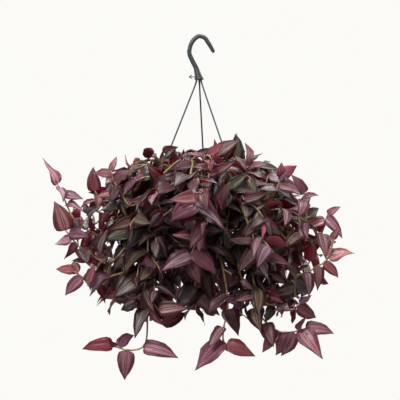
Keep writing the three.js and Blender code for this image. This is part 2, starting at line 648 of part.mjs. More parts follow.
// The way a leaf of the rule points and faces: to either side of the stem in turn, drooping,
// with its upper face to the light and away from the pot.
function ruleLeaf(joint, index, random) {
  const outwards = V(joint.at.x, joint.at.y, 0).normalize();
  const light = UP.clone().multiplyScalar(0.55).addScaledVector(outwards, 0.75)
    .add(anyway(random).multiplyScalar(0.7));
  const side = squareTo(light, joint.along).cross(joint.along).multiplyScalar(index % 2 ? 1 : -1);
  const spread = radians(48 + 24 * random());
  const along = joint.along.clone().multiplyScalar(Math.cos(spread))
    .addScaledVector(side, Math.sin(spread)).addScaledVector(UP, -0.18 - 0.2 * random())
    .addScaledVector(outwards, 0.15);
  const length = joint.place < 1 ? 38 : Math.min(64, 40 + joint.place * 0.55);
  return { along: along.normalize(), light, length: length * (0.86 + 0.26 * random()) };
}

// A leaf of a shown shoot: it points as the viewer sees it, and faces the viewer.
function fanLeaf([, angle, length], random) {
  const along = V(Math.cos(radians(angle)), -0.12 - 0.2 * random(), Math.sin(radians(angle)));
  const light = TOWARDS_VIEWER.clone().add(V(0.9 * (random() - 0.5), 0, 0.25 + 0.5 * random()));
  return { along: along.normalize(), light, length };
}

// Keeps a direction between two angles from an axis, turning it as little as it can.
function keepAngle(along, axis, least, most) {
  const angle = along.angleTo(axis);
  const wanted = THREE.MathUtils.clamp(angle, radians(least), radians(most));
  if (angle === wanted) return along;
  const side = squareTo(along, axis);
  return axis.clone().multiplyScalar(Math.cos(wanted)).addScaledVector(side, Math.sin(wanted));
}

// The stem on both sides of a joint, without the short stretch that the leaf grows out of.
function ownStem(shoot, index) {
  const joint = shoot.joints[index];
  return [shoot.joints[index - 1], shoot.joints[index + 1]].filter(Boolean).map((other) => {
    const near = joint.at.clone().lerp(other.at, STEM.socket / joint.at.distanceTo(other.at));
    return stemOutline(near, other.at, joint.radius + 0.3, -1, -1);
  });
}

// Tries a leaf as wished, then turned round the stem, tilted, rolled and shorter, until it is
// clear. The leaf is null where there is no room.
function growLeaf(shoot, number, index, wish) {
  const { random } = shoot;
  const joint = shoot.joints[index];
  const last = index === shoot.joints.length - 1;
  const [least, most] = last ? [0, LEAF.endAngle] : [LEAF.leastAngle, LEAF.mostAngle];
  const beside = (piece) => piece.shoot === number && piece.isStem
    && (piece.node === index || piece.node === index - 1);
  for (let attempt = 0; attempt < TRIES.leaf; attempt++) {
    const loose = Math.min(1, attempt / 24);
    const turn = radians(last ? 22 : 110) * loose * between(random, -1, 1);
    const wild = loose > 0 ? anyway(random).multiplyScalar(0.9 * loose) : V(0, 0, 0);
    const wished = wish.along.clone().applyAxisAngle(joint.along, turn).add(wild).normalize();
    const along = keepAngle(wished, joint.along, least, most);
    const face = squareTo(wish.light, along)
      .applyAxisAngle(along, 0.75 * loose * between(random, -1, 1));
    const length = wish.length * (attempt > TRIES.shorterAfter ? 0.76 : 1);
    const foot = joint.at.clone();
    if (!last) foot.addScaledVector(squareTo(along, joint.along), joint.radius * 0.75);
    const roomy = bladeRings(foot, along, face, length, CLEARANCE);
    if ([...roomy.rings.flat(), roomy.tip].some((p) => inPot(p, 3))) continue;
    if (!isClear(bladeOutline(roomy, number, index), beside)) continue;
    const blade = bladeRings(foot, along, face, length);
    const outline = bladeOutline(blade, number, index);
    if (ownStem(shoot, index).some((piece) => crosses(outline, piece))) continue;
    grown.push(outline);
    return { along, ...blade };
  }
  return null;
}

// Grows the stems, then the leaves that show best, and then every shoot's from its tip back.
function growPlant() {
  fence();
  const shoots = growStems();
  grown.forEach((piece) => { piece.isStem = piece.shoot >= 0; });
  shoots.forEach((shoot, number) => {
    (shoot.fan ?? []).forEach((entry) => {
      const index = shoot.joints.findIndex((joint) => joint.place === entry[0]);
      shoot.joints[index].leaf = growLeaf(shoot, number, index, fanLeaf(entry, shoot.random));
      shoot.joints[index].bare = true;
    });
  });
  const longest = Math.max(...shoots.map((shoot) => shoot.joints.length));
  for (let back = 1; back <= longest; back++) {
    shoots.forEach((shoot, number) => {
      const index = shoot.joints.length - back;
      const joint = shoot.joints[index];
      if (!joint || joint.bare) return;
      joint.leaf = growLeaf(shoot, number, index, ruleLeaf(joint, index, shoot.random));
    });
  }
  return shoots;
}

// ---------------------------------------------------------------- one shoot's skin

// The whole shoot as one closed skin. The stem is a four-sided tube with a short band at each
// leaf, and the leaf grows out of one side of its band, or out of the stem's end.
function shootGeometry(shoot) {
  const points = [], faces = [];
  const ring = (corners) => {
    points.push(...corners);
    return corners.map((_, i) => points.length - corners.length + i);
  };
  const section = (joint, shift, towards) => {
    const u = squareTo(towards, joint.along);
    const v = joint.along.clone().cross(u);
    const middle = joint.at.clone().addScaledVector(joint.along, shift);
    return ring([-45, 45, 135, 225].map((angle) => middle.clone()
      .addScaledVector(u, joint.radius * Math.cos(radians(angle)))
      .addScaledVector(v, joint.radius * Math.sin(radians(angle)))));
  };
  // How far round b's corners are counted so that they lie beside a's.
  const turnOf = (a, b, offset) => {
    const cost = (shift) => a.reduce((sum, corner, i) => {
      const to = points[b[(i + shift) % 4]];
      const next = points[a[(i + 1) % 4]];
      return sum + points[corner].distanceTo(to) + (offset ? next.distanceTo(to) : 0);
    }, 0);
    return [0, 1, 2, 3].reduce((best, shift) => (cost(shift) < cost(best) ? shift : best), 0);
  };
  const bridge = (a, b, offset = false) => {
    const shift = turnOf(a, b, offset);
    for (let i = 0; i < 4; i++) {
      const p = a[i], q = a[(i + 1) % 4], r = b[(i + 1 + shift) % 4], s = b[(i + shift) % 4];
      faces.push([p, q, s], [q, r, s]);
    }
  };
  const growFrom = (socket, leaf) => {
    const rings = leaf.rings.map(ring);
    bridge(socket, rings[0], true);
    rings.slice(1).forEach((next, i) => faces.push(...bladeFaces(rings[i][0], next[0])));
    const end = rings.at(-1);
    const tip = points.push(leaf.tip) - 1;
    end.forEach((corner, i) => faces.push([corner, end[(i + 1) % 4], tip]));
  };

  let towards = V(1, 0, 0.01);
  let before = null;
  const lastIndex = shoot.joints.length - 1;
  shoot.joints.forEach((joint, index) => {
    if (joint.leaf && index !== lastIndex) towards = joint.leaf.along;
    if (!joint.leaf || index === lastIndex) {
      const here = section(joint, 0, towards);
      if (before) bridge(before, here);
      else faces.push([here[2], here[1], here[0]], [here[3], here[2], here[0]]);
      before = here;
      return;
    }
    const low = section(joint, -STEM.band / 2, towards);
    const high = section(joint, STEM.band / 2, towards);
    bridge(before, low);
    for (let i = 1; i < 4; i++) {
      const next = (i + 1) % 4;
      faces.push([low[i], low[next], high[i]], [low[next], high[next], high[i]]);
    }
    growFrom([low[0], low[1], high[1], high[0]], joint.leaf);
    before = high;
  });
  const end = shoot.joints[lastIndex].leaf;
  if (end) growFrom(before, end);
  else faces.push([before[0], before[1], before[2]], [before[0], before[2], before[3]]);
  return geometryOf(points, faces);
}

// ---------------------------------------------------------------- the whole plant

const finishes = {
  pot: new THREE.MeshStandardMaterial({ color: COLOURS.pot, roughness: 0.5 }),
  hanger: new THREE.MeshStandardMaterial({ color: COLOURS.hanger, roughness: 0.45 }),
  soil: new THREE.MeshStandardMaterial({ color: COLOURS.soil, roughness: 1 }),
  foliage: new THREE.MeshStandardMaterial({ color: COLOURS.foliage, roughness: 0.6 }),
};

const plant = new THREE.Group();
function add(name, geometry, finish) {
  const mesh = new THREE.Mesh(geometry, finish);
  mesh.name = name;
  plant.add(mesh);
}

const shoots = growPlant();
add('pot', pot(), finishes.pot);
add('soil', soil(shoots.map((shoot) => shoot.joints[0].at)), finishes.soil);
add('hanger_hook', hook(), finishes.hanger);
Object.entries(STRAND.azimuths).forEach(([side, azimuth]) => {
  add(`strand_${side}`, strand(azimuth), finishes.hanger);
});
shoots.forEach((shoot, i) => {
  add(`shoot_${String(i + 1).padStart(2, '0')}`, shootGeometry(shoot), finishes.foliage);
});

export default plant;
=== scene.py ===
import math
import random

import bmesh
import bpy
import numpy as np
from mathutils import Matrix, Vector
from mathutils.bvhtree import BVHTree


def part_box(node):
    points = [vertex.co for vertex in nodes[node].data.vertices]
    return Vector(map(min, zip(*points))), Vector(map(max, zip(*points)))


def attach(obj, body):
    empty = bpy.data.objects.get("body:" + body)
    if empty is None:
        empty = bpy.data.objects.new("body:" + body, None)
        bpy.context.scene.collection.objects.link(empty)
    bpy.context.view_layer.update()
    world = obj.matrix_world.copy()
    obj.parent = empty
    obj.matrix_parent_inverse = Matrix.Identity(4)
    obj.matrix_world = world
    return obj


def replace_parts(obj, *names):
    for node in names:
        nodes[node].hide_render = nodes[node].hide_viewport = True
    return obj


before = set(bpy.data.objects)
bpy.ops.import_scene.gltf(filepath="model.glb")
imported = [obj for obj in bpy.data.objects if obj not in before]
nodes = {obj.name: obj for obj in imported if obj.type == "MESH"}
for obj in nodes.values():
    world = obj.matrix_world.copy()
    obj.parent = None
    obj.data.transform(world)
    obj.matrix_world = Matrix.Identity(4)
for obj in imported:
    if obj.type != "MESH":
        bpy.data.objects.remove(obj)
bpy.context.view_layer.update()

# ---------------------------------------------------------------- studio
# A plain pale floor far below the hanging plant, a pale surround of the same tone, and soft
# lamps in front, above and behind. The camera looks almost level, from the plant's best side.

MM = 0.001
FRAME_WIDTH = 0.700  # what the picture spans at the plant
SENSOR_WIDTH = 36
VIEW_DISTANCE = 2.4
VIEW_MIDDLE = Vector((1.75 * MM, 0, -282 * MM))
VIEW_SLOPE = 0.035  # how far the view looks down
PALE = (0.965, 0.957, 0.930, 1)
SURROUND_LIGHT = 0.37
FLOOR = {"size": 300, "height": -4}
LAMP_SIZE = 1.0
LAMPS = {  # where each lamp is, and its power in watts
    "front_light": ((-0.8, -1.9, 1.1), 52),
    "top_light": ((0.4, 0.2, 1.4), 37),
    "back_light_left": ((-1.7, 1.5, 0.5), 20),
    "back_light_right": ((1.9, 1.1, 0.3), 20),
}


def add_object(name, data):
    """Puts a camera, lamp, curve or mesh into the scene as a new object."""
    thing = bpy.data.objects.new(name, data)
    bpy.context.scene.collection.objects.link(thing)
    return thing


def facing_plant(place):
    """The turn of a camera or a lamp at that place."""
    return (VIEW_MIDDLE - Vector(place)).to_track_quat("-Z", "Y").to_euler()


camera_data = bpy.data.cameras.new("camera")
camera_data.sensor_width = SENSOR_WIDTH
camera_data.lens = SENSOR_WIDTH * VIEW_DISTANCE / FRAME_WIDTH
camera = add_object("camera", camera_data)
camera.location = VIEW_MIDDLE + VIEW_DISTANCE * Vector((0, -1, VIEW_SLOPE))
camera.rotation_euler = facing_plant(camera.location)
bpy.context.scene.camera = camera

bpy.context.scene.view_settings.view_transform = "Standard"
world = bpy.data.worlds.new("surround")
world.use_nodes = True
surround = world.node_tree
soft_glow = surround.nodes["Background"]
soft_glow.inputs["Color"].default_value = PALE
soft_glow.inputs["Strength"].default_value = SURROUND_LIGHT
backdrop = surround.nodes.new("ShaderNodeBackground")
backdrop.inputs["Color"].default_value = PALE
rays = surround.nodes.new("ShaderNodeLightPath")
seen_or_felt = surround.nodes.new("ShaderNodeMixShader")
surround.links.new(rays.outputs["Is Camera Ray"], seen_or_felt.inputs[0])
surround.links.new(soft_glow.outputs["Background"], seen_or_felt.inputs[1])
surround.links.new(backdrop.outputs["Background"], seen_or_felt.inputs[2])
surround.links.new(seen_or_felt.outputs["Shader"], surround.nodes["World Output"].inputs["Surface"])
bpy.context.scene.world = world

bpy.ops.mesh.primitive_plane_add(size=FLOOR["size"], location=(0, 0, FLOOR["height"]))
floor = bpy.context.active_object
floor.name = "floor"
floor_paint = bpy.data.materials.new("pale_floor")
floor_paint.use_nodes = True
floor_paint.node_tree.nodes.clear()
floor_glow = floor_paint.node_tree.nodes.new("ShaderNodeEmission")
floor_glow.inputs["Color"].default_value = PALE
floor_out = floor_paint.node_tree.nodes.new("ShaderNodeOutputMaterial")
floor_paint.node_tree.links.new(floor_glow.outputs["Emission"], floor_out.inputs["Surface"])
floor.data.materials.append(floor_paint)
floor.visible_diffuse = floor.visible_glossy = False  # the surround lights the plant from below

for lamp_name, (place, power) in LAMPS.items():
    lamp = bpy.data.lights.new(lamp_name, "AREA")
    lamp.size = LAMP_SIZE
    lamp.energy = power
    box = add_object(lamp_name, lamp)
    box.location = place
    box.rotation_euler = facing_plant(place)

# ---------------------------------------------------------------- pot
# A round pot of dark moulded plastic, hidden almost all over by the plant. It has a band round
# its rim, three lugs that the hanger's strands snap through, and drain holes in its floor.

POT_SIDES = 96
RIM_RADIUS = 75 * MM
BAND_HEIGHT = 11 * MM
BAND_STEP = 3 * MM
BAND_RADIUS = RIM_RADIUS - BAND_STEP
BASE_RADIUS = 51 * MM
WALL = 1.8 * MM
POT_FLOOR = 2.4 * MM
FLOOR_DISC = BASE_RADIUS - 12 * MM
BASE_EDGE = ((-2.5, 0), (-0.6, 0.5), (0, 2))  # steps out and up from the base's edge, in millimetres
RIB = ((0, 14), (0.7, 14.8), (0.7, 16.2), (0, 17))  # out from the wall, and up from the base
BAND_EDGE = ((-0.8, 0), (-0.2, 0.8))  # out from the rim's radius, and up from the band's foot
RIM_EDGE = ((0, -1.6), (-0.5, -0.4), (-1.5, 0), (-3.6, -0.3))  # out and up from the rim
INNER_EDGE = 1.2 * MM  # how far below the rim the wall's inner face starts
LUG = {"length": 13 * MM, "width": 12 * MM, "thickness": 3 * MM, "below": 4 * MM, "hole": 1.95 * MM,
       "in_wall": 2 * MM, "rounding": 0.9 * MM}
STRAND_RING = 79.5 * MM
STRAND_AZIMUTHS = {"right": -37.4, "back": 82.6, "left": 202.6}
DRAINS = {"count": 6, "radius": 4 * MM, "ring": 33 * MM, "azimuth": 15}

BASE_Z, RIM_Z = (corner.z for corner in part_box("pot"))
BAND_FOOT = RIM_Z - BAND_HEIGHT

POT_BLACK = (0.014, 0.015, 0.016)
POT_GREY = (0.026, 0.027, 0.028)
DRIED_DRIPS = (0.075, 0.068, 0.055)


def deselect():
    """Leaves object mode's selection empty, so that an operator acts on new pieces alone."""
    bpy.ops.object.select_all(action="DESELECT")


def select_only(*pieces):
    """Selects these pieces alone. The first is the active one."""
    deselect()
    for piece in pieces:
        piece.select_set(True)
    bpy.context.view_layer.objects.active = pieces[0]


def settle(piece):
    """Puts the piece's place, turn and size into its mesh."""
    select_only(piece)
    bpy.ops.object.transform_apply(location=True, rotation=True, scale=True)


def carve(piece, tool, operation):
    """Joins the tool to the piece, or cuts it out, and takes the tool away."""
    cut = piece.modifiers.new("cut", "BOOLEAN")
    cut.object = tool
    cut.operation = operation
    cut.solver = "EXACT"
    select_only(piece)
    bpy.ops.object.modifier_apply(modifier=cut.name)
    bpy.data.objects.remove(tool)


def edit_all():
    """Opens the active piece's mesh for editing, all selected."""
    bpy.ops.object.mode_set(mode="EDIT")
    bpy.ops.mesh.select_all(action="SELECT")


def close_edit():
    """Turns all faces outward and leaves the editing."""
    bpy.ops.mesh.select_all(action="SELECT")
    bpy.ops.mesh.normals_make_consistent(inside=False)
    bpy.ops.object.mode_set(mode="OBJECT")


def add_block(sizes, middle, azimuth=0):
    """A block with its middle there, turned about Z."""
    deselect()
    bpy.ops.mesh.primitive_cube_add(size=1, location=middle, rotation=(0, 0, math.radians(azimuth)))
    block = bpy.context.active_object
    block.scale = sizes
    settle(block)
    return block


def drill(piece, middle, radius, depth, sides=24):
    """Cuts an upright round hole, with its middle there."""
    deselect()
    bpy.ops.mesh.primitive_cylinder_add(vertices=sides, radius=radius, depth=depth, location=middle)
    carve(piece, bpy.context.active_object, "DIFFERENCE")


def on_ring(radius, azimuth, height):
    """The place that far from the pot's axis, at an azimuth in degrees."""
    turn = math.radians(azimuth)
    return Vector((radius * math.cos(turn), radius * math.sin(turn), height))


def stepped(radius, height, steps):
    """A profile's points, each some millimetres out and up from the same radius and height."""
    return [(radius + out * MM, height + up * MM) for out, up in steps]


def turn_profile(name, profile, sides):
    """Turns a closed solid about Z: a disc at the first (radius, height), drawn out through the rest."""
    deselect()
    bpy.ops.mesh.primitive_circle_add(
        vertices=sides, radius=profile[0][0], fill_type="NGON", location=(0, 0, profile[0][1]))
    piece = bpy.context.active_object
    piece.name = name
    settle(piece)
    edit_all()
    for (radius, height), (next_radius, next_height) in zip(profile, profile[1:]):
        bpy.ops.mesh.extrude_region_move(
            TRANSFORM_OT_translate={"value": (0, 0, next_height - height)})
        grow = next_radius / radius
        bpy.ops.transform.resize(value=(grow, grow, 1), center_override=(0, 0, next_height))
    close_edit()
    return piece


def smooth_shaded(piece, angle=35):
    """Smooths all edges that turn less than the angle."""
    select_only(piece)
    bpy.ops.object.shade_smooth_by_angle(angle=math.radians(angle))


def coat(piece, *paints):
    """Gives the piece these materials alone."""
    piece.data.materials.clear()
    for paint in paints:
        piece.data.materials.append(paint)


class Paint:
    """A material under construction: its surface shader, and short ways to add the nodes before it."""

    def __init__(self, name, roughness=0.5):
        self.material = bpy.data.materials.new(name)
        self.material.use_nodes = True
        self.tree = self.material.node_tree
        self.surface = self.tree.nodes["Principled BSDF"]
        self.surface.inputs["Roughness"].default_value = roughness
        self.place = self.tree.nodes.new("ShaderNodeTexCoord").outputs["Object"]

    def link(self, source, target):
        self.tree.links.new(source, target)

    def noise(self, scale, detail=2.0, stretch=None, place=None):
        """Cloudy numbers from 0 to 1 over the piece, drawn out along an axis by stretch."""
        node = self.tree.nodes.new("ShaderNodeTexNoise")
        node.inputs["Scale"].default_value = scale
        node.inputs["Detail"].default_value = detail
        source = place or self.place
        if stretch:
            mapping = self.tree.nodes.new("ShaderNodeMapping")
            mapping.inputs["Scale"].default_value = stretch
            self.link(source, mapping.inputs["Vector"])
            source = mapping.outputs["Vector"]
        self.link(source, node.inputs["Vector"])
        return node.outputs["Fac"]

    def ramp(self, value, *stops):
        """Colours or greys along a value, as (position, colour) stops."""
        node = self.tree.nodes.new("ShaderNodeValToRGB")
        elements = node.color_ramp.elements
        while len(elements) < len(stops):
            elements.new(0.5)
        for element, (position, colour) in zip(elements, stops):
            element.position = position
            grey = isinstance(colour, (int, float))
            element.color = (colour,) * 3 + (1,) if grey else (*colour, 1)
        self.link(value, node.inputs["Fac"])
        return node.outputs["Color"]

    def place_beside(self, place, shift=(7.3, 3.1, 0)):
        """The same coordinates some way off, so that a second pattern doesn't follow the first."""
        node = self.tree.nodes.new("ShaderNodeVectorMath")
        node.inputs[1].default_value = shift
        self.link(place, node.inputs[0])
        return node.outputs["Vector"]

    def math(self, operation, a, b=0.0, clamp=False):
        node = self.tree.nodes.new("ShaderNodeMath")
        node.operation = operation
        node.use_clamp = clamp
        for socket, value in zip(node.inputs, (a, b)):
            if isinstance(value, (int, float)):
                socket.default_value = value
            else:
                self.link(value, socket)
        return node.outputs["Value"]

    def times(self, a, b, clamp=False):
        return self.math("MULTIPLY", a, b, clamp)

    def plus(self, a, b, clamp=False):
        return self.math("ADD", a, b, clamp)

    def swing(self, noise, amount):
        """Noise about 0 in place of 0.5, by that amount."""
        return self.times(self.math("SUBTRACT", noise, 0.5), amount)

    def mix(self, share, a, b, blend="MIX"):
        """Colour a, or b where share is 1. Each may be a colour or an output."""
        node = self.tree.nodes.new("ShaderNodeMix")
        node.data_type = "RGBA"
        node.blend_type = blend
        for name, value in (("Factor", share), ("A", a), ("B", b)):
            socket = next(s for s in node.inputs if s.name == name and s.enabled)
            if isinstance(value, (int, float)):
                socket.default_value = value
            elif isinstance(value, tuple):
                socket.default_value = (*value, 1)
            else:
                self.link(value, socket)
        return next(s for s in node.outputs if s.enabled)

    def attribute(self, name):
        """A number that the mesh's points carry."""
        node = self.tree.nodes.new("ShaderNodeAttribute")
        node.attribute_name = name
        return node.outputs["Fac"]

    def bump(self, height, distance, strength=1.0):
        node = self.tree.nodes.new("ShaderNodeBump")
        node.inputs["Distance"].default_value = distance
        node.inputs["Strength"].default_value = strength
        self.link(height, node.inputs["Height"])
        self.link(node.outputs["Normal"], self.surface.inputs["Normal"])

    def colour(self, value):
        self.link(value, self.surface.inputs["Base Color"])

    def rough(self, value):
        self.link(value, self.surface.inputs["Roughness"])


def pot_plastic():
    """Almost black plastic, paler where water has dripped down and dried."""
    paint = Paint("dark_pot_plastic")
    drips = paint.noise(scale=90, detail=2, stretch=(1, 1, 0.12))
    plastic = paint.ramp(paint.noise(scale=60, detail=3), (0.3, POT_BLACK), (0.7, POT_GREY))
    paint.colour(paint.mix(paint.ramp(drips, (0.5, 0), (0.8, 0.5)), plastic, DRIED_DRIPS))
    paint.rough(paint.ramp(drips, (0.3, 0.36), (0.8, 0.62)))
    paint.bump(paint.noise(scale=900, detail=2), distance=0.0001, strength=0.4)
    return paint.material


def wall_radius(height):
    """The radius of the pot's tapered wall, outside, at a height below the band."""
    return BASE_RADIUS + (BAND_RADIUS - BASE_RADIUS) / (BAND_FOOT - BASE_Z) * (height - BASE_Z)


def lug_middle(azimuth):
    """Where the hole in a lug is."""
    return on_ring(STRAND_RING, azimuth, RIM_Z - LUG["below"] - LUG["thickness"] / 2)


def make_pot():
    floor_top = BASE_Z + POT_FLOOR
    pot = turn_profile("moulded_pot", [
        *stepped(BASE_RADIUS, BASE_Z, BASE_EDGE),
        *[(wall_radius(BASE_Z + up * MM) + out * MM, BASE_Z + up * MM) for out, up in RIB],
        (BAND_RADIUS, BAND_FOOT), *stepped(RIM_RADIUS, BAND_FOOT, BAND_EDGE),
        *stepped(RIM_RADIUS, RIM_Z, RIM_EDGE), (BAND_RADIUS - WALL, RIM_Z - INNER_EDGE),
        (wall_radius(floor_top) - WALL, floor_top), (FLOOR_DISC, floor_top),
    ], POT_SIDES)
    for azimuth in STRAND_AZIMUTHS.values():
        hole = lug_middle(azimuth)
        middle = on_ring(RIM_RADIUS - LUG["in_wall"] + LUG["length"] / 2, azimuth, hole.z)
        lug = add_block((LUG["length"], LUG["width"], LUG["thickness"]), middle, azimuth)
        edit_all()
        bpy.ops.mesh.bevel(offset=LUG["rounding"], segments=2)
        bpy.ops.object.mode_set(mode="OBJECT")
        carve(pot, lug, "UNION")
        drill(pot, hole, LUG["hole"], 3 * LUG["thickness"])
    for i in range(DRAINS["count"]):
        azimuth = 360 * i / DRAINS["count"] + DRAINS["azimuth"]
        drill(pot, on_ring(DRAINS["ring"], azimuth, BASE_Z), DRAINS["radius"], 4 * POT_FLOOR)
    smooth_shaded(pot)
    coat(pot, pot_plastic())
    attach(pot, "root")
    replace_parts(pot, "pot")


make_pot()

# ---------------------------------------------------------------- soil
# Dark potting soil, filled to below the rim and a little higher in the middle. Its crumbs of
# bark and peat lie loose on top. The stems stand in it.

SOIL_TOP = RIM_Z - 14 * MM
SOIL_SIDES = 48
SOIL_FOOT = BASE_RADIUS - 4 * MM
SOIL_EDGE = ((-1, -2), (0, -1))  # steps out and up from the soil's edge, in millimetres
SOIL_DOME = ((0.94, 0), (0.7, 1.2))  # the share of the way out, and millimetres up from the edge
SOIL_PEAK = {"share": 0.35, "below": 0.4 * MM}
LUMPS = {"size": 5 * MM, "height": 3 * MM, "inset": 6 * MM, "edge": 1.5 * MM}
CRUMBS = {"count": 150, "share": 0.93, "lift": 1.2 * MM, "radius": (0.8, 2.4), "turn": (0, 6),
          "width": (0.5, 0.9), "height": (0.3, 0.7)}
PEAT = ((0.010, 0.007, 0.005), (0.042, 0.027, 0.018))  # from dark to light
BARK = ((0.030, 0.018, 0.011), (0.115, 0.070, 0.042))


def soil_paint(name, dark, light):
    """Rough and matt all over, with dark and light grains."""
    paint = Paint(name, roughness=0.95)
    paint.colour(paint.ramp(paint.noise(scale=420, detail=4), (0.35, dark), (0.62, light)))
    paint.bump(paint.noise(scale=700, detail=5), distance=0.0012, strength=0.9)
    return paint.material


def scatter_crumbs(reach, peak):
    """Loose crumbs over the soil's dome, joined to one piece."""
    draw = random.Random(11)
    crumbs = []
    for _ in range(CRUMBS["count"]):
        deselect()
        away = reach * CRUMBS["share"] * math.sqrt(draw.random())
        turn = draw.uniform(0, 2 * math.pi)
        height = SOIL_TOP + (peak - SOIL_TOP) * (1 - away / reach) + CRUMBS["lift"]
        bpy.ops.mesh.primitive_ico_sphere_add(
            subdivisions=1, radius=draw.uniform(*CRUMBS["radius"]) * MM,
            location=(away * math.cos(turn), away * math.sin(turn), height),
            rotation=[draw.uniform(*CRUMBS["turn"]) for _ in range(3)],
            scale=(1, draw.uniform(*CRUMBS["width"]), draw.uniform(*CRUMBS["height"])))
        crumbs.append(bpy.context.active_object)
    select_only(*crumbs)
    bpy.ops.object.join()
    bark = bpy.context.active_object
    bark.name = "soil_crumbs"
    settle(bark)
    return bark


def make_soil():
    low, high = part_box("soil")
    reach = high.x
    soil = turn_profile("soil_surface", [
        (SOIL_FOOT, low.z), *stepped(reach, SOIL_TOP, SOIL_EDGE),
        *[(reach * share, SOIL_TOP + up * MM) for share, up in SOIL_DOME],
        (reach * SOIL_PEAK["share"], high.z - SOIL_PEAK["below"]),
    ], SOIL_SIDES)
    bpy.ops.object.mode_set(mode="EDIT")
    bpy.ops.mesh.select_all(action="DESELECT")
    bpy.ops.object.mode_set(mode="OBJECT")
    for face in soil.data.polygons:
        face.select = face.center.z > SOIL_TOP - LUMPS["edge"]
    bpy.ops.object.mode_set(mode="EDIT")
    bpy.ops.mesh.inset(thickness=LUMPS["inset"])
    bpy.ops.mesh.poke()
    bpy.ops.mesh.subdivide(number_cuts=2)
    bpy.ops.object.mode_set(mode="OBJECT")
    lumps = bpy.data.textures.new("lumps", "CLOUDS")
    lumps.noise_scale = LUMPS["size"]
    heave = soil.modifiers.new("heave", "DISPLACE")
    heave.texture = lumps
    heave.strength = LUMPS["height"]
    heave.direction = "Z"
    select_only(soil)
    bpy.ops.object.modifier_apply(modifier=heave.name)
    smooth_shaded(soil, angle=50)
    coat(soil, soil_paint("moist_peat", *PEAT))
    bark = scatter_crumbs(reach, high.z)
    coat(bark, soil_paint("bark_crumbs", *BARK))
    for piece in (soil, bark):
        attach(piece, "root")
    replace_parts(soil, "soil")


make_soil()

# ---------------------------------------------------------------- hook
# The hanger's hook is a round rod of dark plastic, moulded in one with the hub that the strands
# come out of. It narrows to a rounded end, and a small arrow holds a paper tag.

CROOK = [(-2.6, -57), (-5.5, -50.5), (-12.5, -37), (-16.8, -25.5), (-15.2, -13.5),
         (-9.5, -3), (0, 3.8), (9.5, 1.2), (16, -7.5), (26.5, -25)]  # x and z, in millimetres
ROD = {"thick": 4.3 * MM, "thin": 3.8 * MM, "step": 1.5 * MM, "narrowing": 0.22,
       "narrow_length": 20 * MM, "roundness": 0.9, "end": 0.3 * MM}
HUB = {"top": -50 * MM, "bottom": -72 * MM, "top_radius": 4.2 * MM, "radius": 8.2 * MM,
       "collar": 3.2 * MM, "lean": -5.6 * MM, "sides": 32}
HUB_FOOT = ((-1.2, 0), (-0.3, 0.3), (0, 0.9))  # steps out and up from the hub's foot, in millimetres
HUB_COLLAR = ((0, -0.5), (-0.4, 0), (-1.1, 0.1), (-1.9, 3.8))  # from the top of its collar
HUB_TOP = ((0.9, -6), (-0.1, 0), (-1.68, 0.8))  # from its top
TAG = {"z": -67 * MM, "rod": 0.7 * MM, "tip": -17.6 * MM, "rod_gap": 1 * MM, "barb_gap": 0.3 * MM,
       "head": 5.5 * MM, "half": 3.4 * MM, "thickness": 1.6 * MM, "radii": (0.8 * MM, 0.8 * MM, 0.5 * MM)}
SOCKET = {"ring": 4.6 * MM, "radius": 2.5 * MM, "depth": 8 * MM, "sides": 20}
HANGER_BLACK = (0.032, 0.038, 0.040)
HANGER_GREY = (0.045, 0.052, 0.054)


def measure_back(points):
    """Each point's distance back from the last one, along the line."""
    back = [0.0]
    for a, b in zip(points[::-1], points[-2::-1]):
        back.append(back[-1] + (a - b).length)
    return back[::-1]


def blend(a, b, start, end, t):
    """What lies between a at the start and b at the end, at t."""
    return a * ((end - t) / (end - start)) + b * ((t - start) / (end - start))


def through(points, spacing, ends=True):
    """Points on one smooth line through the given ones, or only from the second to the third of four."""
    knots = [2 * points[0] - points[1], *points, 2 * points[-1] - points[-2]] if ends else points
    line = []
    for four in zip(knots, knots[1:], knots[2:], knots[3:]):
        steps = max(1, round((four[2] - four[1]).length / spacing))
        times = [0.0]
        for a, b in zip(four, four[1:]):
            times.append(times[-1] + max((b - a).length, 1e-6) ** 0.5)
        for i in range(steps):
            t = times[1] + (times[2] - times[1]) * i / steps
            three = [blend(four[k], four[k + 1], times[k], times[k + 1], t) for k in range(3)]
            two = [blend(three[k], three[k + 1], times[k], times[k + 2], t) for k in range(2)]
            line.append(blend(*two, times[1], times[2], t))
    return [*line, points[-1].copy()] if ends else line


def round_bar(name, line, radii, fineness):
    """A closed round bar along a line, with its own radius at each point."""
    curve = bpy.data.curves.new(name, "CURVE")
    curve.dimensions = "3D"
    curve.bevel_depth = 1
    curve.bevel_resolution = fineness
    curve.use_fill_caps = True
    spline = curve.splines.new("POLY")
    spline.points.add(len(line) - 1)
    for point, at, radius in zip(spline.points, line, radii):
        point.co = (*at, 1)
        point.radius = radius
    bar = add_object(name, curve)
    select_only(bar)
    bpy.ops.object.convert(target="MESH")
    bar = bpy.context.active_object
    edit_all()
    bpy.ops.mesh.remove_doubles(threshold=1e-6)
    close_edit()
    return bar


def hanger_plastic():
    """Dark plastic with a soft sheen and faint clouds."""
    paint = Paint("dark_hanger_plastic", roughness=0.4)
    paint.colour(paint.ramp(paint.noise(scale=70, detail=2), (0.35, HANGER_BLACK), (0.7, HANGER_GREY)))
    paint.rough(paint.ramp(paint.noise(scale=120, detail=2), (0.3, 0.36), (0.7, 0.46)))
    paint.bump(paint.noise(scale=900, detail=1), distance=0.00002, strength=0.3)
    return paint.material


HANGER_PLASTIC = hanger_plastic()


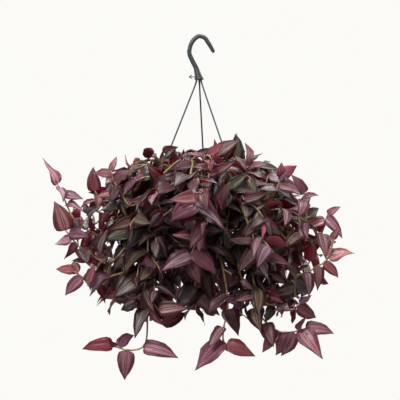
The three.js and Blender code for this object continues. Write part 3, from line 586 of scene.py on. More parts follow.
def make_hook():
    line = through([Vector((x, 0, z)) * MM for x, z in CROOK], ROD["step"])
    back = measure_back(line)
    radii = []
    for left in back:
        share = min(1.0, 2 * (1 - left / back[0]))
        radius = ROD["thick"] + (ROD["thin"] - ROD["thick"]) * share
        near_end = min(1.0, left / (ROD["roundness"] * radius))
        narrow = 1 - ROD["narrowing"] * max(0.0, 1 - left / ROD["narrow_length"])
        radii.append(max(radius * narrow * math.sqrt(1 - (1 - near_end) ** 2), ROD["end"]))
    hook = round_bar("hook", line, radii, fineness=6)
    collar_top = HUB["bottom"] + HUB["collar"]
    hub = turn_profile("hub", [
        *stepped(HUB["radius"], HUB["bottom"], HUB_FOOT), *stepped(HUB["radius"], collar_top, HUB_COLLAR),
        *stepped(HUB["top_radius"], HUB["top"], HUB_TOP),
    ], HUB["sides"])
    for v in hub.data.vertices:
        v.co.x += HUB["lean"] * max(0.0, (v.co.z - collar_top) / (HUB["top"] - collar_top))
    carve(hook, hub, "UNION")
    start, end = TAG["tip"] + TAG["rod_gap"], -HUB["top_radius"]
    arrow = add_block((end - start, TAG["thickness"], 2 * TAG["rod"]), ((start + end) / 2, 0, TAG["z"]))
    carve(hook, arrow, "UNION")
    for side in (-1, 1):
        barb = round_bar("barb", [
            Vector((TAG["tip"] + TAG["barb_gap"], 0, TAG["z"])),
            Vector((TAG["tip"] + TAG["head"] / 2, 0, TAG["z"] + side * TAG["half"] / 2)),
            Vector((TAG["tip"] + TAG["head"], 0, TAG["z"] + side * TAG["half"])),
        ], TAG["radii"], fineness=3)
        carve(hook, barb, "UNION")
    for azimuth in STRAND_AZIMUTHS.values():
        mouth = on_ring(SOCKET["ring"], azimuth, HUB["bottom"])
        drill(hook, mouth, SOCKET["radius"], SOCKET["depth"], SOCKET["sides"])
    smooth_shaded(hook, angle=40)
    coat(hook, HANGER_PLASTIC)
    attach(hook, "root")
    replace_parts(hook, "hanger_hook")


make_hook()

# ---------------------------------------------------------------- strands
# Three thin stiff strands of the same plastic. Each starts thick in the hub and ends in a
# knob that is pushed through its lug on the pot's rim.

STRAND = {"root": 2.1 * MM, "rod": 1.4 * MM, "root_length": 13 * MM, "step": 3 * MM, "below_lug": 0.3 * MM}
STRAND_TOP = ((0, 3.7), (0, -1), (1.4, -6), (4.5, -14))  # steps out and up from its socket, in millimetres
STRAND_FOOT = ((-2.2, 9), (0, 3))  # steps out and up from the lug's upper face
KNOB = (  # distance below the lug, and radius, in millimetres
    (0.25, 2.4), (0.7, 3.2), (1.6, 3.2), (3.2, 2.6), (5.2, 1.7), (6.6, 0.9), (7, 0.4))


def strand_route(azimuth):
    """From inside the hub to just below the lug."""
    ear = lug_middle(azimuth).z
    top, foot = ear + LUG["thickness"] / 2, ear - LUG["thickness"] / 2 - STRAND["below_lug"]
    profile = [*stepped(SOCKET["ring"], HUB["bottom"], STRAND_TOP),
               *stepped(STRAND_RING, top, STRAND_FOOT), (STRAND_RING, foot)]
    return [on_ring(radius, azimuth, height) for radius, height in profile]


def make_strand(side, azimuth):
    line = through(strand_route(azimuth), STRAND["step"])
    low = line[-1].z
    radii = []
    for point in line:
        thick = max(0.0, 1 - (line[0].z - point.z) / STRAND["root_length"])
        radii.append(STRAND["rod"] + (STRAND["root"] - STRAND["rod"]) * thick)
    for drop, radius in KNOB:
        line.append(Vector((line[-1].x, line[-1].y, low - drop * MM)))
        radii.append(radius * MM)
    strand = round_bar(f"hanger_strand_{side}", line, radii, fineness=3)
    smooth_shaded(strand, angle=40)
    coat(strand, HANGER_PLASTIC)
    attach(strand, "root")
    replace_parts(strand, f"strand_{side}")


for strand_side, strand_azimuth in STRAND_AZIMUTHS.items():
    make_strand(strand_side, strand_azimuth)

# ---------------------------------------------------------------- leafy shoots
# Each shoot is a thin juicy stem with a leaf at every joint, on one side and then the other.
# The leaf has no stalk: it grows out of a short sheath that wraps the stem. The upper face is
# plum with two silvery stripes, the underside wine red, and the youngest leaves are the reddest.

LEAF = {"slenderness": 0.24, "curl": 0.55, "tries": 8}
TEMPLATE_LENGTH = 60 * MM
BLADE_THICKNESS = 0.5 * MM
STATIONS = (  # share of the length, and the half-width there as a share of the widest
    (0.0, 0.18), (0.03, 0.55), (0.09, 0.87), (0.2, 1.0), (0.34, 0.99), (0.51, 0.86), (0.68, 0.61),
    (0.85, 0.27), (1.0, 0.0))
COLUMNS = 4
LEAST_WIDTH = 0.001  # what the tip's row keeps of its width until it is merged
ASIDE = 10  # metres: the rows of the flat leaf that are done wait this far away

# The leaf's colours: each ramp over the age runs from the youngest leaf to the oldest
UPPER_FACE = {
    "roughness": 0.40,
    "band": ((0.10, 0.0), (0.20, 1.0), (0.43, 1.0), (0.57, 0.03)),  # the stripe, from midrib to edge
    "darks": ((0.0, (0.138, 0.038, 0.057)), (0.25, (0.082, 0.018, 0.030)), (0.55, (0.034, 0.008, 0.013)),
              (1.0, (0.010, 0.007, 0.005))),
    "stripes": ((0.0, (0.352, 0.182, 0.208)), (0.25, (0.314, 0.178, 0.190)), (0.5, (0.258, 0.174, 0.164)),
                (0.75, (0.192, 0.176, 0.120)), (1.0, (0.130, 0.162, 0.072))),
    "pale": ((0.0, (0.52, 0.27, 0.31)), (0.4, (0.50, 0.38, 0.35)), (1.0, (0.36, 0.40, 0.18))),
}
UNDERSIDE = {
    "roughness": 0.45,
    "band": ((0.12, 0.0), (0.25, 0.8), (0.60, 0.8), (0.80, 0.1)),
    "darks": ((0.0, (0.190, 0.042, 0.075)), (0.4, (0.125, 0.016, 0.034)), (1.0, (0.050, 0.010, 0.015))),
    "stripes": ((0.0, (0.310, 0.110, 0.155)), (0.4, (0.195, 0.045, 0.072)), (1.0, (0.070, 0.018, 0.024))),
    "pale": ((0.0, (0.40, 0.10, 0.15)), (1.0, (0.12, 0.05, 0.04))),
}
VEIN_GRAIN = (46, 2.2, 1)  # how fine it is across the leaf and along it
QUILT_GRAIN = (11, 1.5, 1)
AGE_CLOUDS = 0.3
RAGGED_EDGE = 0.42
STRIPE_LENGTH = ((0.0, 0.45), (0.2, 1.0), (0.8, 0.85), (1.0, 0.25))  # from base to tip
PALE_VEINS = ((0.58, 0.0), (0.66, 0.6))
PALE_MIDRIB = ((0.02, 0.75), (0.06, 0.0))
RUBY = (0.100, 0.004, 0.011)  # a few bright young leaves are of this red
RUBY_TONES = ((0.89, 0.0), (0.92, 0.7))
RUBY_AGES = ((0.35, 1.0), (0.8, 0.1))
VEIN_SHADES = ((0.36, 0.52), (0.64, 1.28))
# how the tone scales the leaf's colour: its random part is the leaf's own, its darkening deep in the plant
# is painted shade
TONE_AND_PAINTED_SHADE_SCALE = ((0.0, 0.38), (1.0, 1.62))
BLUSHES = ((0.0, (1.12, 0.92, 0.74)), (1.0, (0.93, 1.0, 1.20)))  # from warm to cool
RELIEF = {"quilt": 0.8, "rib": 0.45, "veins": 0.12}
RIB_GROOVE = ((0.0, 0.0), (0.10, 1.0))
LEAF_SURFACE = {"Specular IOR Level": 0.36, "Subsurface Weight": 0.25,
                "Subsurface Radius": (1.0, 0.12, 0.2), "Subsurface Scale": 0.003}


def leaf_paint(name, roughness, band, darks, stripes, pale):
    """One face of the leaf: dark flesh, a silver stripe on each side, pale veins and midrib, all scaled by
    the leaf's tone, which holds painted shade deep in the plant.
    """
    paint = Paint(name, roughness)
    spot = paint.tree.nodes.new("ShaderNodeUVMap")
    spot.uv_map = "blade"
    blade = spot.outputs["UV"]
    parts = paint.tree.nodes.new("ShaderNodeSeparateXYZ")
    paint.link(blade, parts.inputs["Vector"])
    across, along = parts.outputs["X"], parts.outputs["Y"]
    aside = paint.times(paint.math("ABSOLUTE", paint.math("SUBTRACT", across, 0.5)), 2)
    veins = paint.noise(scale=1, detail=3, stretch=VEIN_GRAIN, place=blade)
    quilt = paint.noise(scale=1, detail=1, stretch=QUILT_GRAIN, place=paint.place_beside(blade))
    clouds = paint.swing(paint.noise(scale=90, detail=3), AGE_CLOUDS)
    age = paint.plus(paint.attribute("age"), clouds, clamp=True)
    edge = paint.plus(aside, paint.swing(veins, RAGGED_EDGE))
    silver_of_leaf = paint.attribute("silver")
    silver = paint.times(paint.ramp(edge, *band), paint.ramp(along, *STRIPE_LENGTH))
    silver = paint.times(silver, silver_of_leaf, clamp=True)
    flesh = paint.mix(silver, paint.ramp(age, *darks), paint.ramp(age, *stripes))
    streak = paint.times(paint.ramp(veins, *PALE_VEINS), silver)
    midline = paint.times(paint.ramp(aside, *PALE_MIDRIB), silver_of_leaf)
    flesh = paint.mix(paint.math("MAXIMUM", streak, midline), flesh, paint.ramp(age, *pale))
    tone = paint.attribute("tone")
    ruby = paint.times(paint.ramp(tone, *RUBY_TONES), paint.ramp(age, *RUBY_AGES))
    flesh = paint.mix(ruby, flesh, RUBY)
    # The tone's ramp darkens leaves deep in the plant as painted shade; the veins' and the blush's ramps
    # are the leaf's own
    for value, shades in ((veins, VEIN_SHADES), (tone, TONE_AND_PAINTED_SHADE_SCALE), (paint.attribute("blush"), BLUSHES)):
        flesh = paint.mix(1.0, flesh, paint.ramp(value, *shades), "MULTIPLY")
    paint.colour(flesh)
    groove = paint.times(paint.ramp(aside, *RIB_GROOVE), RELIEF["rib"])
    relief = paint.plus(paint.times(quilt, RELIEF["quilt"]), groove)
    paint.bump(paint.plus(relief, paint.times(veins, RELIEF["veins"])), distance=0.0009, strength=0.8)
    for socket, value in LEAF_SURFACE.items():
        paint.surface.inputs[socket].default_value = value
    return paint.material


STEM_COLOURS = (
    (0.0, (0.42, 0.20, 0.17)), (0.3, (0.38, 0.34, 0.10)), (0.65, (0.21, 0.21, 0.055)),
    (1.0, (0.075, 0.062, 0.028)))
FLUSHED_STEM = ((0.0, (0.36, 0.10, 0.12)), (0.5, (0.20, 0.060, 0.055)), (1.0, (0.070, 0.026, 0.024)))


def stem_paint():
    """Pink at the tip, then green, and brown where it is old, with a red flush in blotches."""
    paint = Paint("stem", roughness=0.38)
    blotch = paint.noise(scale=260, detail=3, stretch=(1, 1, 0.5))
    age = paint.attribute("age")
    flush = paint.ramp(blotch, (0.42, 0.0), (0.62, 0.9))
    paint.colour(paint.mix(flush, paint.ramp(age, *STEM_COLOURS), paint.ramp(age, *FLUSHED_STEM)))
    paint.bump(paint.noise(scale=500, detail=2, stretch=(1, 1, 0.15)), distance=0.0003, strength=0.5)
    return paint.material


SHEATH_GREEN = (0.25, 0.20, 0.08)
SHEATH_RED = (0.19, 0.055, 0.055)


def sheath_paint():
    """Green with fine red lines along it."""
    paint = Paint("leaf_sheath", roughness=0.5)
    lines = paint.noise(scale=1500, detail=2, stretch=(1, 1, 0.2))
    paint.colour(paint.ramp(lines, (0.35, SHEATH_GREEN), (0.65, SHEATH_RED)))
    return paint.material


SHOOT_PAINTS = [leaf_paint("leaf_upper_face", **UPPER_FACE), leaf_paint("leaf_underside", **UNDERSIDE),
                stem_paint(), sheath_paint()]
UPPER, UNDER, STEM, SHEATH = range(len(SHOOT_PAINTS))


def make_flat_leaf():
    """One flat leaf, pointing along +Y with its upper face up, which every leaf is a copy of."""
    deselect()
    rows = len(STATIONS) - 1
    bpy.ops.mesh.primitive_grid_add(x_subdivisions=COLUMNS, y_subdivisions=rows, size=2, location=(0, 0, 0))
    leaf = bpy.context.active_object
    leaf.name = "flat_leaf"
    leaf.data.uv_layers[0].name = "blade"
    for row, (share, width) in enumerate(STATIONS):
        here = -1 + 2 * row / rows
        for v in leaf.data.vertices:
            v.select = abs(v.co.y - here) < 0.01
        for e in leaf.data.edges:
            e.select = all(leaf.data.vertices[i].select for i in e.vertices)
        for f in leaf.data.polygons:
            f.select = False
        bpy.ops.object.mode_set(mode="EDIT")
        bpy.context.tool_settings.mesh_select_mode = (True, False, False)
        half = max(width, LEAST_WIDTH) * LEAF["slenderness"] * TEMPLATE_LENGTH
        bpy.ops.transform.resize(value=(half, 1, 1), center_override=(0, 0, 0))
        bpy.ops.transform.translate(value=(0, ASIDE + share * TEMPLATE_LENGTH - here, 0))
        if width == 0:
            bpy.ops.mesh.merge(type="CENTER")
        bpy.ops.object.mode_set(mode="OBJECT")
    edit_all()
    bpy.ops.transform.translate(value=(0, -ASIDE, 0))
    close_edit()
    if leaf.data.polygons[0].normal.z < 0:
        leaf.data.flip_normals()
    flesh = leaf.modifiers.new("flesh", "SOLIDIFY")
    flesh.thickness = BLADE_THICKNESS
    flesh.offset = 0
    flesh.use_rim = True
    coat(leaf, *SHOOT_PAINTS)
    flesh.material_offset = UNDER
    flesh.material_offset_rim = UPPER
    select_only(leaf)
    bpy.ops.object.modifier_apply(modifier=flesh.name)
    bpy.ops.object.shade_smooth()
    return leaf


SHEATH_SHAPE = {"length": 6 * MM, "foot": 1.06, "mouth": 1.32, "slant": 0.22, "sides": 8, "lift": 1.5 * MM}
SPEAR = {"length": 11 * MM, "radius": 1.1 * MM, "sides": 6, "foot": 0.7, "waist": 0.45, "tip": 0.12,
         "lean": 0.28, "sunk": 1.5 * MM, "lengths": (0.7, 1.2)}


def upright_bar(name, sides, paint_index):
    """An upright bar from z -1 to 0, ready to be shaped and copied."""
    deselect()
    bpy.ops.mesh.primitive_cylinder_add(
        vertices=sides, radius=1.0, depth=1.0, end_fill_type="TRIFAN", location=(0, 0, -0.5))
    bar = bpy.context.active_object
    bar.name = name
    settle(bar)
    coat(bar, *SHOOT_PAINTS)
    for f in bar.data.polygons:
        f.material_index = paint_index
    bar.data.uv_layers[0].name = "blade"
    smooth_shaded(bar, angle=50)
    return bar


def make_flat_sheath():
    """One sheath: a short tube that widens to a slanting mouth on the side of its leaf."""
    sheath = upright_bar("flat_sheath", SHEATH_SHAPE["sides"], SHEATH)
    for v in sheath.data.vertices:
        mouth = v.co.z > -0.5
        reach = SHEATH_SHAPE["mouth" if mouth else "foot"]
        slant = SHEATH_SHAPE["slant"] * v.co.x if mouth else 0
        v.co = (v.co.x * reach, v.co.y * reach, v.co.z + slant)
    return sheath


def make_flat_spear():
    """One leaf that is still rolled up: a slim spear from the origin up to z 1."""
    spear = upright_bar("flat_spear", SPEAR["sides"], UNDER)
    select_only(spear)
    edit_all()
    bpy.ops.mesh.bisect(plane_co=(0, 0, SPEAR["waist"] - 1), plane_no=(0, 0, 1))
    bpy.ops.object.mode_set(mode="OBJECT")
    for v in spear.data.vertices:
        height = v.co.z + 1
        reach = SPEAR["foot"] if height < 0.1 else SPEAR["tip"] if height > 0.9 else 1.0
        v.co = (v.co.x * reach, v.co.y * reach, height)
    return spear


FLAT_LEAF, FLAT_SHEATH, FLAT_SPEAR = make_flat_leaf(), make_flat_sheath(), make_flat_spear()
LEAF_FACES = [tuple(f.vertices) for f in FLAT_LEAF.data.polygons]


def places_of(mesh):
    """The mesh's points as rows of three numbers."""
    flat = np.zeros(len(mesh.vertices) * 3)
    mesh.vertices.foreach_get("co", flat)
    return flat.reshape(-1, 3)


LEAF_PLACES = places_of(FLAT_LEAF.data)
SHEATH_PLACES = places_of(FLAT_SHEATH.data)
SPEAR_PLACES = places_of(FLAT_SPEAR.data)


def mark(mesh, **numbers):
    """Gives a mesh's points the numbers that its material reads, each one or one for each point."""
    for name, value in numbers.items():
        attribute = mesh.attributes.new(name, "FLOAT", "POINT")
        attribute.data.foreach_set("value", np.full(len(mesh.vertices), value, np.float32))


def copy_of(flat, places, **numbers):
    """A copy of a flat piece with its own mesh, its points moved to their places."""
    mesh = flat.data.copy()
    mesh.vertices.foreach_set("co", places.astype(np.float32).ravel())
    mark(mesh, **numbers)
    return add_object("part", mesh)


LOBES = {"size": 0.08, "length": 0.12}  # the leaf's base wraps forward past the stem
CUP = 1.25  # how sharply the leaf is folded at its midrib
EDGE_WAVE = {"height": 0.05, "count": 1.7, "offset": 1.3, "from_base": 4}
RIB_WAVE = {"height": 0.018, "count": 0.9}
SWAY = 0.07


def lay_leaf(leaf, draw):
    """Bends the flat leaf down its length, folds it along its midrib, twists it and waves its edges."""
    length, curl = leaf["length"], LEAF["curl"] * leaf["droop"]
    scale = length / TEMPLATE_LENGTH
    widest = LEAF["slenderness"] * length
    aside = LEAF_PLACES[:, 0] * scale
    across = np.abs(aside) / widest
    share = LEAF_PLACES[:, 1] / TEMPLATE_LENGTH
    lobes = LOBES["size"] * across ** 2 * np.exp(-share / LOBES["length"])
    bend = curl * (share - lobes)
    along, face, right = (np.array(leaf[k]) for k in ("along", "face", "right"))
    rib = np.outer(length * np.sin(bend) / curl, along) - np.outer(length * (1 - np.cos(bend)) / curl, face)
    up = np.outer(np.cos(bend), face) + np.outer(np.sin(bend), along)
    cup = math.sin(leaf["fold"]) * widest * across ** CUP
    edge_turn = 2 * math.pi * (EDGE_WAVE["count"] * share + draw.random())
    wave = EDGE_WAVE["height"] * length * np.sin(edge_turn + EDGE_WAVE["offset"] * np.sign(aside)) \
        * across ** 2 * np.clip(EDGE_WAVE["from_base"] * share, 0, 1)
    rib_turn = 2 * math.pi * (RIB_WAVE["count"] * share + draw.random())
    wave += RIB_WAVE["height"] * length * np.sin(rib_turn) * np.sin(math.pi * share)
    sway = SWAY * length * draw.uniform(-1, 1) * np.clip(share - 0.5, 0, 1) ** 2 / 0.25
    height = cup + wave + LEAF_PLACES[:, 2]
    turn = (leaf["roll"] + leaf["twist"] * share)[:, None]
    beside = right * np.cos(turn) + up * np.sin(turn)
    above = up * np.cos(turn) - right * np.sin(turn)
    sideways = aside * leaf["width"] * math.cos(leaf["fold"]) + sway
    return np.array(leaf["base"]) + rib + beside * sideways[:, None] + above * height[:, None]


def standing(flat_places, foot, up, towards, radius, height):
    """The points of an upright flat piece, stood on its foot with its +X side turned towards."""
    up = up.normalized()
    towards = (towards - up * towards.dot(up)).normalized()
    axes = np.array([towards * radius, up.cross(towards) * radius, up * height])
    return np.array(foot) + flat_places @ axes


def joined(name, parts):
    """Joins parts to one piece that rides on the pot's body."""
    select_only(*parts)
    bpy.ops.object.join()
    piece = bpy.context.active_object
    piece.name = name
    piece.data.name = name
    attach(piece, "root")
    return piece


STEM_STEP = 5 * MM
JOINT_SWELL = 1.22
PLAIN = {"tone": 0.5, "silver": 1.0, "blush": 0.5}  # the look of stems and sheaths


def make_stem(points, radii, ages):
    """A stem through its joints, a little swollen at each, with its age at each joint."""
    line, knots = [], []
    for i in range(len(points) - 1):
        knots.append(len(line))
        line += between(points, i, STEM_STEP)
    knots.append(len(line))
    line.append(points[-1].copy())
    at = np.arange(len(line))
    sizes = np.interp(at, knots, radii)
    sizes[knots[3:-1]] *= JOINT_SWELL
    stem = round_bar("stem", line, sizes, fineness=1)
    bpy.ops.object.shade_smooth()
    while stem.data.uv_layers:
        stem.data.uv_layers.remove(stem.data.uv_layers[0])
    stem.data.uv_layers.new(name="blade")
    coat(stem, *SHOOT_PAINTS)
    for f in stem.data.polygons:
        f.material_index = STEM
    skin, spine = places_of(stem.data), np.array(line)
    nearest = ((skin[:, None, :] - spine[None, :, :]) ** 2).sum(2).argmin(1)
    mark(stem.data, age=np.interp(at, knots, ages)[nearest], **PLAIN)
    return stem


def make_shoot(name, shoot, draw):
    """A shoot's stem, its leaves with their sheaths, and the spear at its tip, as one piece."""
    parts = [make_stem(shoot["points"], shoot["radii"], shoot["ages"])]
    for leaf in shoot["leaves"]:
        parts.append(copy_of(FLAT_LEAF, leaf["skin"], age=leaf["age"], tone=leaf["tone"],
                             silver=leaf["silver"], blush=leaf["blush"]))
        if leaf["sheathed"]:
            foot = leaf["joint"] + leaf["stem_way"].normalized() * SHEATH_SHAPE["lift"]
            places = standing(SHEATH_PLACES, foot, leaf["stem_way"], leaf["along"],
                              leaf["stem_radius"], SHEATH_SHAPE["length"])
            parts.append(copy_of(FLAT_SHEATH, places, age=leaf["age"], **PLAIN))
        else:
            lean = leaf["along"] + leaf["face"] * SPEAR["lean"]
            places = standing(SPEAR_PLACES, leaf["joint"] - lean * SPEAR["sunk"], lean, leaf["right"],
                              SPEAR["radius"], SPEAR["length"] * draw.uniform(*SPEAR["lengths"]))
            parts.append(copy_of(FLAT_SPEAR, places, age=0.0, **PLAIN | {"tone": 0.7}))
    return joined(name, parts)


ROOT_Z = SOIL_TOP - 12 * MM + 0.3 * MM  # the foot of every stem in the solids
LEAF_RING = {"share": 0.3, "width": 0.97}  # where a solid's leaf is measured, and how wide it is there
STEM_CORNERS = 4  # in the solids
SEAM = 1e-5  # the solids' points that lie closer than this are one
JOINT_LENGTH = 4 * MM  # two rings of a solid's stem that lie closer than this are one joint
LEAF_TIP = {"edges": 4, "angles": 2.6}  # it is sharper than any other corner of a shoot, in radians


def cross_section(ring, tip):
    """A leaf ring's left and right edge, the middle of its rib, and its upright direction."""
    pairs = [(a, b) for i, a in enumerate(ring) for b in ring[i + 1:]]
    left, right = max(pairs, key=lambda pair: (pair[0] - pair[1]).length)
    above, below = [p for p in ring if p not in (left, right)]
    rib, middle = (above + below) / 2, (left + right) / 2
    up = (above - below).normalized()
    if up.dot(middle - rib) < 0:
        up = -up
    if (right - left).dot((tip - rib).cross(up)) < 0:
        left, right = right, left
    return left, right, rib, up


def read_shoot(node):
    """Finds the stem's line and each leaf's place, turn and size in a shoot's plain solid."""
    skin = bmesh.new()
    skin.from_mesh(node.data)
    bmesh.ops.remove_doubles(skin, verts=skin.verts, dist=SEAM)
    around = {v: {e.other_vert(v) for e in v.link_edges} for v in skin.verts}
    tips = [v for v in skin.verts if len(around[v]) == LEAF_TIP["edges"]
            and sum(loop.calc_angle() for loop in v.link_loops) < LEAF_TIP["angles"]]
    blade, found = set(), []
    for tip in tips:
        outer = around[tip]
        inner = set().union(*(around[v] for v in outer)) - outer - {tip}
        socket = set().union(*(around[v] for v in inner)) - outer - inner
        blade |= {tip} | outer | inner
        found.append((tip, inner, socket))
    stem = [v for v in skin.verts if v not in blade]
    ring = set(sorted(stem, key=lambda v: abs(v.co.z - ROOT_Z))[:STEM_CORNERS])
    rings, seen = [], set()
    while ring:
        rings.append(ring)
        seen |= ring
        ring = {w for v in ring for w in around[v] if w not in seen and w not in blade}
    middles = [sum((v.co for v in ring), Vector()) / len(ring) for ring in rings]
    sizes = [sum((v.co - m).length for v in ring) / len(ring) for ring, m in zip(rings, middles)]
    points, radii, joint_of, paired = [], [], [], set()
    for i, (middle, size) in enumerate(zip(middles, sizes)):
        if i and i - 1 not in paired and (middle - middles[i - 1]).length < JOINT_LENGTH:
            points[-1] = (points[-1] + middle) / 2
            paired.add(i)
        else:
            points.append(middle)
            radii.append(size)
        joint_of.append(len(points) - 1)
    leaves = []
    for tip, inner, socket in found:
        left, right, rib, up = cross_section([v.co for v in inner], tip.co)
        across = (right - left).normalized()
        forward = up.cross(across).normalized()
        bend = LEAF["curl"] * LEAF_RING["share"]
        length = (right - left).length / 2 / (LEAF["slenderness"] * LEAF_RING["width"])
        along = forward * math.cos(bend) + up * math.sin(bend)
        face = up * math.cos(bend) - forward * math.sin(bend)
        base = rib - along * (length * math.sin(bend) / LEAF["curl"]) \
            + face * (length * (1 - math.cos(bend)) / LEAF["curl"])
        at = joint_of[min(i for i, ring in enumerate(rings) if ring & socket)]
        leaves.append(leaf_on(points, radii, at, base, along, face, length))
    skin.free()
    return {"points": points, "radii": radii, "leaves": leaves}


def leaf_on(points, radii, at, base, along, face, length):
    """What is known of a leaf at a joint of a stem, before its age and its look are drawn."""
    before, after = points[max(at - 1, 0)], points[min(at + 1, len(points) - 1)]
    return {"base": base, "along": along, "face": face, "right": along.cross(face), "length": length,
            "at": at, "joint": points[at].copy(), "stem_way": after - before,
            "stem_radius": radii[at], "sheathed": at < len(points) - 1}


OUTLINE = (  # height, and how far out the dense part of the plant reaches there
    (-520, 40), (-505, 90), (-489, 140), (-461, 185), (-433, 205), (-405, 218), (-290, 218),
    (-265, 205), (-243, 180), (-222, 140), (-205, 90), (-190, 30), (-186, 10))
OUTLINE_Z = [z * MM for z, _ in OUTLINE]
OUTLINE_REACH = [reach * MM for _, reach in OUTLINE]
CROWN_Z = RIM_Z + 22 * MM  # the leaves above it are smaller and slimmer
REACH = (60 * MM, 200 * MM)  # for the painted shade and the ageing deep inside, the plant's reach is taken to be between these
SHADE_EDGE = 1.15  # a joint this many reaches out from the axis gets no painted shade and no added age
CROWN_LIGHT = RIM_Z + 20 * MM  # above it no leaf is drawn older for its depth in the plant
# A leaf's age is 0 in the youngest and 1 in the oldest, and its tone runs from 0, dark, to 1, light
AGE = {"tip": 0.03, "length": 0.24, "shade": 0.4, "crown": -0.12, "spread": (-0.24, 0.22)}
# The tone is random, falls with age, and is darker deep in the plant: that last part is painted shade
TONE_AND_PAINTED_SHADE = {"range": (0.3, 1), "shade": 0.9, "young": 1.04, "fall": 0.28}
SILVER = {"least": 0.1, "range": 1.25, "rarity": 1.3, "young": 1.15, "fall": 0.4}
BEARING = {"droop": (0.7, 1.5), "fold": (0.12, 0.75), "roll": (-0.6, 0.6), "twist": (-1.1, 1.1)}
WIDTHS = {"hanging": (1.05, 1.36), "crown": (0.9, 1.15)}


def finish_leaf(leaf, back, wildness, draw):
    """Draws how old the leaf is, by its place back from the tip and deep in the plant, and its look. Deep
    leaves are drawn older and darker: partly the real older leaves inside, partly painted shade.
    """
    place = leaf["joint"]
    reach = max(REACH[0], min(REACH[1], np.interp(place.z, OUTLINE_Z, OUTLINE_REACH)))
    deep = max(0.0, SHADE_EDGE - math.hypot(place.x, place.y) / reach)
    # Deep in the plant a leaf is drawn older, so darker: partly real ageing, partly painted shade
    shade = AGE["shade"] * deep if place.z < CROWN_LIGHT else AGE["crown"]
    age = AGE["tip"] + back / AGE["length"] + shade + draw.uniform(*AGE["spread"])
    leaf["age"] = min(1.0, max(0.0, age))
    # Deep in the plant the tone is darkened: painted shade
    leaf["tone"] = draw.uniform(*TONE_AND_PAINTED_SHADE["range"]) * (1 - TONE_AND_PAINTED_SHADE["shade"] * min(1.0, deep)) \
        * (TONE_AND_PAINTED_SHADE["young"] - TONE_AND_PAINTED_SHADE["fall"] * leaf["age"])
    leaf["silver"] = (SILVER["least"] + SILVER["range"] * draw.random() ** SILVER["rarity"]) \
        * (SILVER["young"] - SILVER["fall"] * leaf["age"])
    leaf["blush"] = draw.random()
    leaf["droop"] = draw.uniform(*BEARING["droop"])
    leaf["fold"] = draw.uniform(*BEARING["fold"])
    leaf["roll"] = wildness * draw.uniform(*BEARING["roll"])
    leaf["twist"] = wildness * draw.uniform(*BEARING["twist"])
    leaf["width"] = draw.uniform(*WIDTHS["hanging" if place.z < CROWN_Z else "crown"])
    leaf["skin"] = lay_leaf(leaf, draw)


def between(points, i, spacing):
    """The points of the smooth line through all the given ones, from number i up to the next."""
    knots = [2 * points[0] - points[1], *points, 2 * points[-1] - points[-2]]
    return through(knots[i:i + 4], spacing, ends=False)


CELL = 30 * MM  # the plant is searched for crossings in cubes of this size


class Thicket:
    """All the leaves and stems so far, for the test of what a new one would cross."""

    def __init__(self):
        self.cells = {}

    def cells_of(self, points):
        """The cells that the points' bounding box touches."""
        low, high = np.floor(points.min(0) / CELL).astype(int), np.floor(points.max(0) / CELL).astype(int)
        return [(x, y, z) for x in range(low[0], high[0] + 1)
                for y in range(low[1], high[1] + 1) for z in range(low[2], high[2] + 1)]

    def skin(self, points, faces):
        """The surface in a form that can be tested, and the cells that it is in."""
        return BVHTree.FromPolygons(points.tolist(), faces), self.cells_of(points)

    def add(self, skin, owner=None):
        tree, cells = skin
        for cell in cells:
            self.cells.setdefault(cell, []).append((tree, owner))

    def is_clear(self, skin, except_owners=()):
        """Whether the skin crosses nothing that is there, apart from what those owners have."""
        tree, cells = skin
        met = {id(other): (other, owner) for cell in cells for other, owner in self.cells.get(cell, ())}
        return not any(tree.overlap(other) for other, owner in met.values() if owner not in except_owners)


def ribbon(a, b, radius):
    """Two crossed strips along a stretch of stem, enough to find what crosses it."""
    way = (b - a).normalized()
    u = way.orthogonal().normalized() * radius
    v = way.cross(u)
    corners = [a - u, a + u, b + u, b - u, a - v, a + v, b + v, b - v]
    return np.array(corners), [(0, 1, 2, 3), (4, 5, 6, 7)]


def in_pot(points, margin):
    """Whether any point lies in the pot's wall, its soil or below, or within a margin of them."""
    away = np.hypot(points[:, 0], points[:, 1])
    z = points[:, 2]
    wall = np.where(z > BAND_FOOT, RIM_RADIUS, np.minimum(wall_radius(z), RIM_RADIUS))
    within = (z > BASE_Z - margin) & (z < RIM_Z + margin) & (away < wall + margin)
    free = (z > SOIL_TOP + margin) & (away < wall - WALL - BAND_STEP - margin)
    return bool((within & ~free).any())


def in_outline(points):
    """Whether all points lie in the dense part of the plant."""
    reach = np.interp(points[:, 2], OUTLINE_Z, OUTLINE_REACH)
    inside = (np.hypot(points[:, 0], points[:, 1]) < reach) & (points[:, 2] > OUTLINE_Z[0])
    return bool((inside & (points[:, 2] < OUTLINE_Z[-1])).all())


def any_way(draw):
    """A random direction, of a random length."""
    return Vector([draw.uniform(-1, 1) for _ in range(3)])


def square_to(v, axis):
    """The direction nearest to v that is square to the axis."""
    return (v - axis * v.dot(axis)).normalized()


SIDE_LEAF = {"up": 0.55, "out": 0.75, "stray_light": 0.85, "droop": (0.0, 0.35), "outward": 0.15,
             "stray": 0.4, "seat": 0.7, "at_tip": 0.75}
SPREAD = {"tip": (0, 30), "side": (50, 85)}  # degrees between a leaf and its stem
POT_GAP = 2 * MM
CROWN_SIZE = {"placed": 0.78, "filled": 0.6, "added": 0.66}
LATE = {"tries": 40, "leaves": (32 * MM, 54 * MM)}  # leaves at the joints that are still bare


